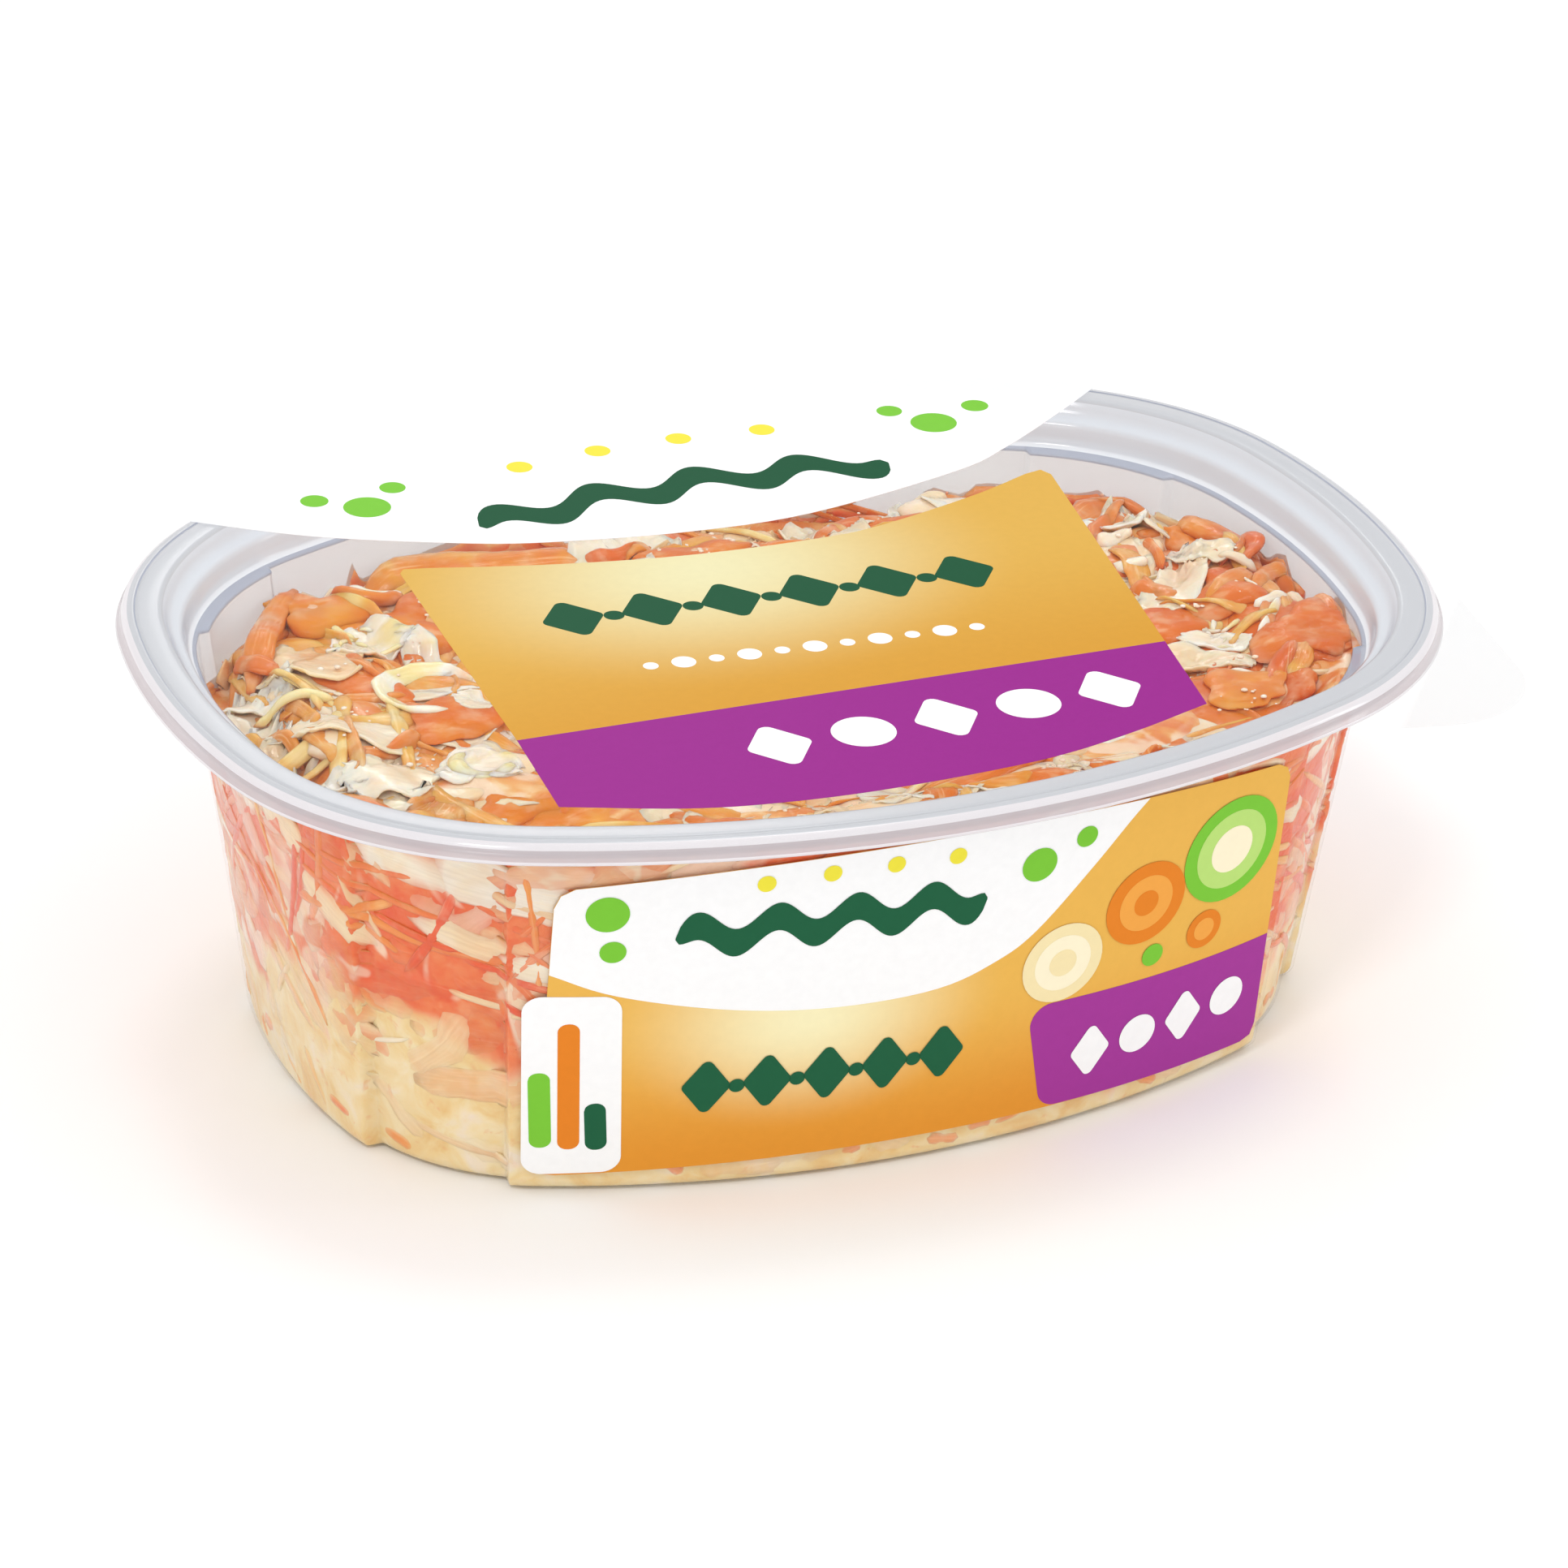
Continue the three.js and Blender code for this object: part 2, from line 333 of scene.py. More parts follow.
def noise_tex(nt, vec, scale, detail=3.0, rough=0.55, distort=0.0):
    n = node(nt, "ShaderNodeTexNoise")
    n.inputs["Scale"].default_value = scale
    n.inputs["Detail"].default_value = detail
    n.inputs["Roughness"].default_value = rough
    n.inputs["Distortion"].default_value = distort
    nt.links.new(vec, n.inputs["Vector"])
    return n.outputs["Fac"]


def ramp(nt, fac, stops, mode="LINEAR"):
    r = node(nt, "ShaderNodeValToRGB")
    r.color_ramp.interpolation = mode
    el = r.color_ramp.elements
    while len(el) < len(stops):
        el.new(0.5)
    for e, (p, c) in zip(el, stops):
        e.position = p
        e.color = c
    nt.links.new(fac, r.inputs["Fac"])
    return r.outputs["Color"]


def mix_rgb(nt, fac, a, b, blend="MIX"):
    m = node(nt, "ShaderNodeMix", data_type="RGBA", blend_type=blend)
    if isinstance(fac, (int, float)):
        m.inputs[0].default_value = fac
    else:
        nt.links.new(fac, m.inputs[0])
    for sock, val in ((m.inputs[6], a), (m.inputs[7], b)):
        if isinstance(val, (tuple, list)):
            sock.default_value = val
        else:
            nt.links.new(val, sock)
    return m.outputs[2]


def math_node(nt, op, a, b=None, clamp=False):
    m = node(nt, "ShaderNodeMath", operation=op, use_clamp=clamp)
    for sock, val in ((m.inputs[0], a), (m.inputs[1], b)):
        if val is None:
            continue
        if isinstance(val, (int, float)):
            sock.default_value = val
        else:
            nt.links.new(val, sock)
    return m.outputs[0]


def remap(nt, val, lo, hi, a=0.0, b=1.0):
    m = node(nt, "ShaderNodeMapRange", interpolation_type="SMOOTHSTEP")
    m.inputs["From Min"].default_value = lo
    m.inputs["From Max"].default_value = hi
    m.inputs["To Min"].default_value = a
    m.inputs["To Max"].default_value = b
    nt.links.new(val, m.inputs["Value"])
    return m.outputs["Result"]


def bump(nt, height, strength, distance, bsdf, socket="Normal"):
    b = node(nt, "ShaderNodeBump")
    b.inputs["Strength"].default_value = strength
    b.inputs["Distance"].default_value = distance
    nt.links.new(height, b.inputs["Height"])
    nt.links.new(b.outputs[0], bsdf.inputs[socket])


def attr(nt, name):
    return node(nt, "ShaderNodeAttribute", attribute_name=name, attribute_type="GEOMETRY").outputs["Fac"]


def object_normal_z(nt):
    n = node(nt, "ShaderNodeSeparateXYZ")
    nt.links.new(nt.nodes.new("ShaderNodeNewGeometry").outputs["Normal"], n.inputs[0])
    return n.outputs[2]


def object_z(nt, vec):
    s = node(nt, "ShaderNodeSeparateXYZ")
    nt.links.new(vec, s.inputs[0])
    return s.outputs


# ------------------------------------------------------------------ camera and light
CAM_A, CAM_E, CAM_R = math.radians(-23.818), math.radians(26.874), math.radians(1.5)
CAM_D, CAM_TX, CAM_TY, CAM_F = 796.958, 1.2444, 22.8444, 4.5


def make_camera():
    a, e, r = CAM_A, CAM_E, CAM_R
    back = Vector((math.sin(a) * math.cos(e), -math.cos(a) * math.cos(e), math.sin(e)))
    rt = Vector((math.cos(a), math.sin(a), 0))
    up = rt.cross(-back)
    rt2 = rt * math.cos(r) + up * math.sin(r)
    up2 = -rt * math.sin(r) + up * math.cos(r)
    cam = bpy.data.cameras.new("camera")
    ob = bpy.data.objects.new("camera", cam)
    bpy.context.scene.collection.objects.link(ob)
    pos = (CAM_TX * rt2 + CAM_TY * up2 + CAM_D * back) * MM
    ob.matrix_world = Matrix((
        (rt2.x, up2.x, back.x, pos.x), (rt2.y, up2.y, back.y, pos.y), (rt2.z, up2.z, back.z, pos.z), (0, 0, 0, 1)))
    cam.sensor_fit = "HORIZONTAL"
    cam.sensor_width = 36.0
    cam.lens = 36.0 * CAM_F
    cam.clip_start, cam.clip_end = 0.05, 20.0
    bpy.context.scene.camera = ob


def area_light(name, loc, target, size, power, colour=(1, 1, 1)):
    d = bpy.data.lights.new(name, "AREA")
    d.shape = "RECTANGLE"
    d.size, d.size_y = size
    d.energy = power
    d.color = colour
    ob = bpy.data.objects.new(name, d)
    bpy.context.scene.collection.objects.link(ob)
    ob.location = loc
    ob.rotation_mode = "QUATERNION"
    ob.rotation_quaternion = (Vector(target) - Vector(loc)).to_track_quat("-Z", "Y")
    return ob


def make_stage():
    w = bpy.data.worlds.new("studio")
    bpy.context.scene.world = w
    w.use_nodes = True
    nt = w.node_tree
    nt.nodes.clear()
    out = nt.nodes.new("ShaderNodeOutputWorld")
    bg = nt.nodes.new("ShaderNodeBackground")
    bg.inputs["Color"].default_value = (1.0, 1.0, 1.0, 1.0)
    bg.inputs["Strength"].default_value = 0.93
    nt.links.new(bg.outputs[0], out.inputs[0])
    area_light("key", (-0.55, -0.55, 0.95), (0, 0, 0.02), (0.22, 0.22), 2.4)
    area_light("top", (0.25, 0.25, 1.1), (0, 0, 0.02), (0.3, 0.2), 1.2)
    area_light("back", (0.34, 0.95, 0.60), (0, 0, 0.03), (0.18, 0.18), 0.36)
    area_light("side", (0.9, -0.35, 0.4), (0, 0, 0.02), (0.15, 0.3), 0.7)
    s = 2.5
    floor = make_object("floor", np.array([[-s, -s, 0], [s, -s, 0], [s, s, 0], [-s, s, 0]]) / MM, quads=[[0, 1, 2, 3]])
    m, nt, b = new_material("pale_floor")
    vec = coords(nt)
    col = ramp(nt, noise_tex(nt, vec, 3.0, 2.0), [(0.3, (0.955, 0.955, 0.957, 1)), (0.7, (0.97, 0.97, 0.972, 1))])
    nt.links.new(col, b.inputs["Base Color"])
    b.inputs["Roughness"].default_value = 0.8
    b.inputs["Specular IOR Level"].default_value = 0.15
    floor.data.materials.append(m)
    floor.location.z = -0.0001
    sc = bpy.context.scene
    sc.view_settings.view_transform = "Standard"
    sc.view_settings.look = "None"
    sc.view_settings.exposure = 0.0
    sc.view_settings.gamma = 1.0


make_camera()
make_stage()


# ------------------------------------------------------------------ colour of the wet mass, shared by core and shreds
def mass_group():
    g = bpy.data.node_groups.new("mass_colour", "ShaderNodeTree")
    g.interface.new_socket("Colour", in_out="OUTPUT", socket_type="NodeSocketColor")
    out = g.nodes.new("NodeGroupOutput")
    vec = coords(g)
    xyz = object_z(g, vec)
    big = noise_tex(g, vec, 62.0, 2.0, 0.5, 0.6)
    mid = noise_tex(g, vec, 190.0, 3.0, 0.55, 0.8)
    fine = noise_tex(g, vec, 520.0, 3.0, 0.6, 0.5)
    # orange mass of the upper part
    coral = ramp(g, mid, [(0.30, lin(224, 78, 34)), (0.45, lin(229, 96, 46)), (0.60, lin(234, 126, 74)), (0.74, lin(237, 172, 120))])
    redder = ramp(g, fine, [(0.35, lin(226, 82, 36)), (0.65, lin(234, 130, 70))])
    coral = mix_rgb(g, 0.35, coral, redder)
    sauce = ramp(g, mid, [(0.30, lin(218, 112, 44)), (0.48, lin(224, 136, 62)), (0.6, lin(231, 170, 102)), (0.72, lin(238, 206, 158))])
    flat = object_normal_z(g)
    orange = mix_rgb(g, remap(g, flat, 0.25, 0.6), coral, sauce)
    # pale yellow sauce that settles at the bottom
    cream = ramp(g, mid, [(0.30, lin(230, 188, 122)), (0.45, lin(235, 206, 148)), (0.58, lin(238, 217, 172)), (0.72, lin(238, 221, 198))])
    spots = remap(g, fine, 0.62, 0.74)
    cream = mix_rgb(g, math_node(g, "MULTIPLY", spots, 0.5), cream, lin(230, 170, 120))
    level = math_node(g, "ADD", xyz[2], math_node(g, "MULTIPLY", math_node(g, "SUBTRACT", big, 0.5), 0.044))
    level = math_node(g, "ADD", level, math_node(g, "MULTIPLY", math_node(g, "SUBTRACT", mid, 0.5), 0.012))
    up = remap(g, level, 0.0115, 0.0185)
    col = mix_rgb(g, up, cream, orange)
    # milky patches of cabbage and sauce higher up
    patch = remap(g, noise_tex(g, vec, 105.0, 2.0, 0.5, 1.0), 0.54, 0.62)
    patch = math_node(g, "MULTIPLY", patch, up)
    col = mix_rgb(g, math_node(g, "MULTIPLY", patch, 0.75), col, lin(241, 218, 190))
    g.links.new(col, out.inputs[0])
    return g


MASS = mass_group()


def use_mass(nt):
    n = nt.nodes.new("ShaderNodeGroup")
    n.node_tree = MASS
    return n.outputs[0]


def wet(b, rough=0.32, coat=0.6, sss=0.12, spec=0.5):
    b.inputs["Roughness"].default_value = rough
    b.inputs["Specular IOR Level"].default_value = spec
    b.inputs["IOR"].default_value = 1.36
    b.inputs["Coat Weight"].default_value = coat
    b.inputs["Coat Roughness"].default_value = 0.06
    b.inputs["Subsurface Weight"].default_value = sss
    b.inputs["Subsurface Radius"].default_value = (1.0, 0.55, 0.3)
    b.inputs["Subsurface Scale"].default_value = 0.0022


def core_material():
    m, nt, b = new_material("sauce_core")
    vec = coords(nt)
    nt.links.new(use_mass(nt), b.inputs["Base Color"])
    wet(b, 0.3, 0.35, 0.1)
    h = noise_tex(nt, vec, 420.0, 4.0, 0.55, 0.4)
    bump(nt, h, 0.5, 0.0006, b)
    return m


def shred_material(name, stops, rough, pale, sss=0.3, crinkle=0.35, coat=0.5, spec=0.5):
    """Colour by each shred's own tint, fading to the mass where it sinks in, with fine fibres along it."""
    m, nt, b = new_material(name)
    vec = coords(nt)
    drift = math_node(nt, "MULTIPLY", math_node(nt, "SUBTRACT", noise_tex(nt, vec, 150.0, 2.0, 0.5, 0.5), 0.5), 1.1)
    base = ramp(nt, math_node(nt, "ADD", attr(nt, "tint"), drift, clamp=True), stops)
    var = noise_tex(nt, vec, 340.0, 3.0, 0.6, 0.3)
    base = mix_rgb(nt, math_node(nt, "MULTIPLY", remap(nt, var, 0.45, 0.75), pale), base, lin(240, 222, 184))
    along = attr(nt, "along")
    across = attr(nt, "across")
    comb = node(nt, "ShaderNodeCombineXYZ")
    nt.links.new(along, comb.inputs[0])
    nt.links.new(across, comb.inputs[1])
    nt.links.new(attr(nt, "tint"), comb.inputs[2])
    fib = node(nt, "ShaderNodeTexNoise")
    fib.inputs["Scale"].default_value = 1.0
    fib.inputs["Detail"].default_value = 3.0
    nt.links.new(comb.outputs[0], fib.inputs["Vector"])
    base = mix_rgb(nt, math_node(nt, "MULTIPLY", remap(nt, fib.outputs["Fac"], 0.56, 0.72), pale), base, lin(242, 218, 172))
    shade = ramp(nt, fib.outputs["Fac"], [(0.3, (0.94, 0.925, 0.90, 1)), (0.6, (1.03, 1.03, 1.03, 1))])
    base = mix_rgb(nt, 1.0, base, shade, "MULTIPLY")
    sink = attr(nt, "sink")
    col = mix_rgb(nt, sink, base, use_mass(nt))
    nt.links.new(col, b.inputs["Base Color"])
    wet(b, rough, coat, sss, spec)
    hmix = math_node(nt, "ADD", math_node(nt, "MULTIPLY", fib.outputs["Fac"], 0.6), noise_tex(nt, vec, 700.0, 3.0))
    bump(nt, hmix, crinkle, 0.0003, b)
    bump(nt, noise_tex(nt, vec, 820.0, 2.0, 0.5, 0.6), 0.42, 0.0004, b, "Coat Normal")
    return m


# ------------------------------------------------------------------ clear plastic
def plastic_material(name, tone, grazing_shade_tone, alpha_face, alpha_edge, rough=0.12):
    m, nt, b = new_material(name)
    vec = coords(nt)
    lw = node(nt, "ShaderNodeLayerWeight")
    lw.inputs["Blend"].default_value = 0.35
    face = lw.outputs["Facing"]
    # the tone turns darker toward grazing angles: painted shade standing in for the dark refraction lines along the
    # plastic's edges and silhouettes
    col = ramp(nt, face, [(0.0, tone), (0.55, tone), (1.0, grazing_shade_tone)])
    haze = noise_tex(nt, vec, 35.0, 3.0, 0.6)
    a = remap(nt, face, 0.35, 0.95, alpha_face, alpha_edge)
    a = math_node(nt, "ADD", a, math_node(nt, "MULTIPLY", math_node(nt, "SUBTRACT", haze, 0.5), 0.06), clamp=True)
    nt.links.new(col, b.inputs["Base Color"])
    nt.links.new(a, b.inputs["Alpha"])
    b.inputs["Roughness"].default_value = rough
    b.inputs["IOR"].default_value = 1.49
    bump(nt, noise_tex(nt, vec, 60.0, 2.0), 0.12, 0.0006, b)
    return m


def tub_rings():
    """Profile of the shell as (offset, z, follows wall panels) from under the base, up outside, over the rim, down inside."""
    outer, inner = [], []
    out = []

    def put(off, z, panel, mat):
        out.append((off, z, panel, mat))

    w0 = wall_off(0) + BASE_R
    # underside of the base with a shallow moulded ring
    for d, z in ((16.0, 0.0), (12.6, 0.0), (12.2, 0.12), (11.9, 0.22), (11.2, 0.22), (10.9, 0.12), (10.5, 0.0), (6.0, 0.0), (2.0, 0.0), (0.6, 0.0)):
        put(w0 + d, z, 0.0 if d > 2.5 else 1.0, 0)
    for k in range(0, 7):
        a = HALF_PI * k / 6
        z = BASE_R * (1 - math.cos(a))
        put(wall_off(z) + BASE_R * (1 - math.sin(a)), z, 1.0, 0)
    for z in np.linspace(3.0, LEDGE_Z - 1.0, 16):
        put(wall_off(z), z, 1.0, 0)
    for z in np.linspace(LEDGE_Z - 0.6, LEDGE_TOP + 0.45, 8):
        put(wall_off(z), z, 1.0, 0)
    # slope under the flange with a small nesting step
    for off, z in ((7.45, 44.6), (7.1, 45.6), (6.75, 46.2), (6.15, 46.5), (5.5, 46.9), (5.0, 47.5), (4.55, 47.95), (4.0, 48.15)):
        put(off, z, 0.0, 1)
    for off, z in ((3.0, 48.15), (2.2, 48.1), (1.75, 47.8), (1.5, 47.3), (1.2, 46.95)):
        put(off, z, 0.0, 1)
    # lip of the skirt
    for off, z in ((0.75, 46.72), (0.45, 46.55), (0.15, 46.6), (0.0, 46.8), (0.1, 47.0)):
        put(off, z, 0.0, 2)
    for off, z in ((0.38, 47.25), (0.5, 47.7), (0.62, 48.1)):
        put(off, z, 0.0, 4)
    for off, z in ((0.85, 48.45), (1.25, 48.7)):
        put(off, z, 0.0, 2)
    for off, z in ((1.8, 48.82), (2.0, RIM_Z - 0.02)):
        put(off, z, 0.0, 1)
    # material 5 here paints a thin dark line of shade into the small groove on the flange
    for off, z in ((2.15, RIM_Z - 0.16), (2.3, RIM_Z - 0.02)):
        put(off, z, 0.0, 5 if off < 2.2 else 1)
    for off, z in ((2.6, RIM_Z), (3.6, RIM_Z), (4.5, RIM_Z), (4.85, RIM_Z - 0.06), (5.15, RIM_Z - 0.3)):
        put(off, z, 0.0, 1)
    # inside: slope, nesting step, ledge, wall, floor
    for off, z in ((5.5, 47.85), (5.8, 47.35), (6.2, 46.95), (6.75, 46.75), (7.15, 46.5), (7.35, 46.0), (7.55, 45.1), (7.75, 44.35), (8.0, 43.95), (8.3, 43.74)):
        put(off, z, 0.0, 6)
    # material 5 paints the ledge crease as a thin dark line: painted shade
    put(wall_off(43.6) + WALL_T - 0.1, 43.62, 1.0, 5)
    put(wall_off(43.5) + WALL_T + 0.05, 43.5, 1.0, 5)
    put(wall_off(43.3) + WALL_T + 0.02, 43.28, 1.0, 5)
    for z in np.linspace(LEDGE_Z - 0.05, LEDGE_Z - 0.8, 6):
        put(wall_off(z) + WALL_T, z, 1.0, 3)
    for z in np.linspace(LEDGE_Z - 1.2, 3.0, 16):
        put(wall_off(z) + WALL_T, z, 1.0, 3)
    for k in range(0, 6):
        a = HALF_PI * k / 5
        z = WALL_T + BASE_R * (1 - math.sin(a))
        put(wall_off(0) + WALL_T + BASE_R * (1 - math.cos(a)), z, 1.0, 3)
    put(w0 + 5.0, WALL_T, 0.0, 3)
    put(w0 + 14.0, WALL_T, 0.0, 3)
    return out


def build_tub():
    prof = tub_rings()
    rings, mats = [], []
    for off, z, panel, mat in prof:
        o = off + (recess(PHI, z) if panel else 0.0)
        if not panel and z < 1.0:
            o = off + recess(PHI, 0.0) * 0.6
        x, y = plan(PHI, o)
        rings.append(np.stack([x, y, np.full(len(PHI), z)], 1))
        mats.append(mat)
    v, q, t = loft(rings)
    n = len(PHI)
    idx = np.repeat(np.array(mats[1:]), n)
    idx = np.concatenate([idx, np.zeros(n, int), np.full(n, 3)])
    # the second colour of each is the darker tone at grazing angles, painted shade along the edges
    wall = plastic_material("tub_wall_clear", lin(228, 220, 214), lin(140, 112, 96), 0.016, 0.17, 0.1)
    rim = plastic_material("tub_flange_milky", lin(198, 200, 205), lin(184, 187, 194), 0.86, 0.92, 0.22)
    lip = plastic_material("tub_lip_milky", lin(236, 231, 234), lin(214, 208, 212), 0.8, 0.9, 0.12)
    inner = plastic_material("tub_inner_clear", lin(200, 200, 203), lin(172, 174, 184), 0.62, 0.85, 0.14)
    # milky plastic whose pinkish tone partly paints in the orange salad reflected and seen in the skirt: painted
    # reflection
    skirt = plastic_material("tub_skirt_milky_painted_reflection", lin(206, 193, 195), lin(190, 182, 186), 0.6, 0.8, 0.14)
    # dark blue-grey band for the crease lines: painted shade
    crease_shade = plastic_material("tub_crease_painted_shade", lin(150, 157, 176), lin(140, 147, 166), 0.86, 0.92, 0.3)
    slope = plastic_material("tub_slope_milky", lin(224, 229, 236), lin(176, 182, 196), 0.8, 0.92, 0.12)
    ob = make_object("tub_shell", v, q, t, (wall, rim, lip, inner, skirt, crease_shade, slope), idx)
    ob.visible_shadow = False
    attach(ob, "root")
    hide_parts("tub")
    return ob


# ------------------------------------------------------------------ coleslaw
def heap_top(x, y):
    """Rough level of the salad: higher at the right end and along the front, dipping to the back wall."""
    q = np.hypot(x / 62.0, y / 45.5)
    edge = smooth((q - 0.72) / 0.28)
    front = smooth(-y / 26.0)
    return (FILL_Z - 0.3 - 0.02 * y + 0.9 * smooth((x - 22.0) / 28.0)
            + 0.8 * np.sin(x * 0.115 + 1.3) * np.cos(y * 0.14 + 0.4)
            + 0.5 * np.sin(x * 0.24 - y * 0.2 + 0.7)
            + 0.4 * np.cos(x * 0.37 + y * 0.33)
            + edge * (2.6 * front - 1.3 * (1 - front)))


def box_blur(h, r):
    k = 2 * r + 1
    c = np.cumsum(np.pad(h, ((r + 1, r), (0, 0)), mode="edge"), axis=0)
    h = (c[k:] - c[:-k]) / k
    c = np.cumsum(np.pad(h, ((0, 0), (r + 1, r)), mode="edge"), axis=1)
    return (c[:, k:] - c[:, :-k]) / k


class HeightMap:
    """Top of everything laid so far, on a half-millimetre grid."""

    def __init__(self):
        self.step = 0.5
        self.x0, self.y0 = -68.0, -52.0
        nx, ny = int(136 / self.step) + 1, int(104 / self.step) + 1
        gx, gy = np.meshgrid(self.x0 + np.arange(nx) * self.step, self.y0 + np.arange(ny) * self.step, indexing="ij")
        p = np.stack([gx, gy, 0 * gx], -1)
        self.h = heap_top(gx, gy) - 2.2 + 0.9 * noise3(p, 7.0) + 0.3 * noise3(p + 31, 3.0)

    def ij(self, x, y):
        i = np.clip(((x - self.x0) / self.step).round().astype(int), 0, self.h.shape[0] - 1)
        j = np.clip(((y - self.y0) / self.step).round().astype(int), 0, self.h.shape[1] - 1)
        return i, j

    def get(self, x, y):
        i, j = self.ij(x, y)
        return self.h[i, j]

    def soft(self, x, y):
        fx = np.clip((np.asarray(x) - self.x0) / self.step, 0, self.h.shape[0] - 1.001)
        fy = np.clip((np.asarray(y) - self.y0) / self.step, 0, self.h.shape[1] - 1.001)
        i, j = fx.astype(int), fy.astype(int)
        u, v = fx - i, fy - j
        h = self.h
        return (h[i, j] * (1 - u) * (1 - v) + h[i + 1, j] * u * (1 - v) + h[i, j + 1] * (1 - u) * v + h[i + 1, j + 1] * u * v)

    def put(self, x, y, z):
        i, j = self.ij(x, y)
        np.maximum.at(self.h, (i, j), z)


def contact(phi):
    """Level at which the salad meets the wall."""
    x, y = plan(phi, wall_off(39.0) + 1.0)
    p = np.stack([x, y, 0 * x], -1)
    front = smooth(-y / 24.0)
    z = heap_top(x, y) - 0.5 + 1.5 * front + (0.9 * noise3(p, 8.0) + 0.5 * noise3(p + 9, 3.0)) * (1 - 0.6 * front)
    return np.minimum(z, 43.0)


def build_core(hm):
    rings = []
    rings.append(np.stack([*plan(PHI, wall_off(0) + CORE_IN + BASE_R + 3.0 + recess(PHI, 0.0)), np.full(len(PHI), 0.42)], 1))
    for z in (0.42, 0.55, 0.75, 1.05, 1.4, 1.8):
        rings.append(wall_point(PHI, np.full(len(PHI), z), CORE_IN))
    zc = contact(PHI)
    for f in np.linspace(0.03, 0.985, 62):
        z = 2.4 + f * (zc - 2.4)
        p = wall_point(PHI, z, CORE_IN)
        n = np.abs(noise3(p, 2.6) * 0.11 + noise3(p, 6.0) * 0.11)
        near = smooth((f - 0.93) / 0.06)
        rings.append(wall_point(PHI, z, CORE_IN + n + 0.25 * near))
    x, y = plan(PHI, wall_off(zc) + WALL_T + 0.15 + recess(PHI, zc))
    smooth_top = HeightMap.__new__(HeightMap)
    smooth_top.step, smooth_top.x0, smooth_top.y0 = hm.step, hm.x0, hm.y0
    smooth_top.h = box_blur(box_blur(hm.h, 2), 2)
    rings.append(np.stack([x, y, zc], 1))
    for k in np.concatenate([np.linspace(0.992, 0.90, 14), np.linspace(0.885, 0.03, 70)]):
        px, py = x * k, y * k
        p = np.stack([px, py, 0 * px], 1)
        inner = smooth_top.soft(px, py) - 0.45 + 0.30 * noise3(p, 3.2) + 0.16 * noise3(p + 31, 1.4)
        w = smooth((1 - k) / 0.07)
        rings.append(np.stack([px, py, zc * (1 - w) + inner * w], 1))
    v, q, t = loft(rings)
    ob = make_object("sauce_core", v, q, t, (core_material(),))
    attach(ob, "root")
    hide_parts("coleslaw")
    return ob


class Soup:
    """Collects many small pieces into one joined mesh."""

    def __init__(self):
        self.v, self.q, self.t, self.a, self.n = [], [], [], {}, 0

    def add(self, v, q, t=None, **attrs):
        self.v.append(v)
        if q is not None:
            self.q.append(np.asarray(q) + self.n)
        if t is not None:
            self.t.append(np.asarray(t) + self.n)
        for k, val in attrs.items():
            self.a.setdefault(k, []).append(np.broadcast_to(np.asarray(val, float), (len(v),)))
        self.n += len(v)

    def build(self, name, mat):
        ob = make_object(name, np.concatenate(self.v), np.concatenate(self.q) if self.q else None, np.concatenate(self.t) if self.t else None, (mat,),
                         attrs={k: np.concatenate(x) for k, x in self.a.items()})
        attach(ob, "root")
        return ob


def tube_faces(stations, n):
    i = np.arange(n)
    j = (i + 1) % n
    q = [np.stack([k * n + i, k * n + j, (k + 1) * n + j, (k + 1) * n + i], 1) for k in range(stations - 1)]
    t = []
    for k in range(1, n - 1):
        t.append([0, k + 1, k])
        b = (stations - 1) * n
        t.append([b, b + k, b + k + 1])
    return np.concatenate(q), np.array(t)


def super_section(n, power):
    t = np.linspace(0, 2 * math.pi, n + 1)[:-1] + math.pi / n
    c, s = np.cos(t), np.sin(t)
    return np.stack([np.sign(c) * np.abs(c) ** power, np.sign(s) * np.abs(s) ** power], 1)


SEC_STRAND = super_section(8, 0.7)
SEC_BAND = super_section(16, 0.8)


def sweep(path, side, up, width, thick, soup, tint, sink, seed_along, section, rough=0.0):
    """Strip of rounded section along a path. width and thick are arrays along it (full sizes)."""
    k, s = len(path), section
    off = side[:, None, :] * (s[None, :, 0:1] * width[:, None, None] / 2) + up[:, None, :] * (s[None, :, 1:2] * thick[:, None, None] / 2)
    v = (path[:, None, :] + off).reshape(-1, 3)
    if rough > 0:
        d = off.reshape(-1, 3)
        ln = np.linalg.norm(d, axis=1, keepdims=True) + 1e-6
        fade = np.repeat(np.clip(np.minimum(np.arange(k), np.arange(k)[::-1]) / 3.0, 0.15, 1), len(s))[:, None]
        stretch = v * np.array([1, 1, 1.4]) + seed_along * 7.0
        v = v + d / ln * fade * (rough * noise3(stretch, 4.2) + 0.4 * rough * noise3(stretch + 55, 1.5))[:, None]
    q, t = tube_faces(k, len(s))
    step = np.concatenate([[0], np.cumsum(np.linalg.norm(np.diff(path, axis=0), axis=1))])
    along = np.repeat(step * 0.22 + seed_along, len(s))
    across = np.tile(s[:, 0] * 1.0, k) * np.repeat(width, len(s)) * 1.6
    soup.add(v, q, t, tint=tint, sink=np.repeat(sink, len(s)) if np.ndim(sink) else sink, along=along, across=across)


def smooth_path(h, passes):
    h = h.copy()
    for _ in range(passes):
        h[1:-1] = 0.25 * h[:-2] + 0.5 * h[1:-1] + 0.25 * h[2:]
        h[0] = 0.7 * h[0] + 0.3 * h[1]
        h[-1] = 0.7 * h[-1] + 0.3 * h[-2]
    return h


RAISE = [-0.75]         # the last pieces may lie a little higher than the rest


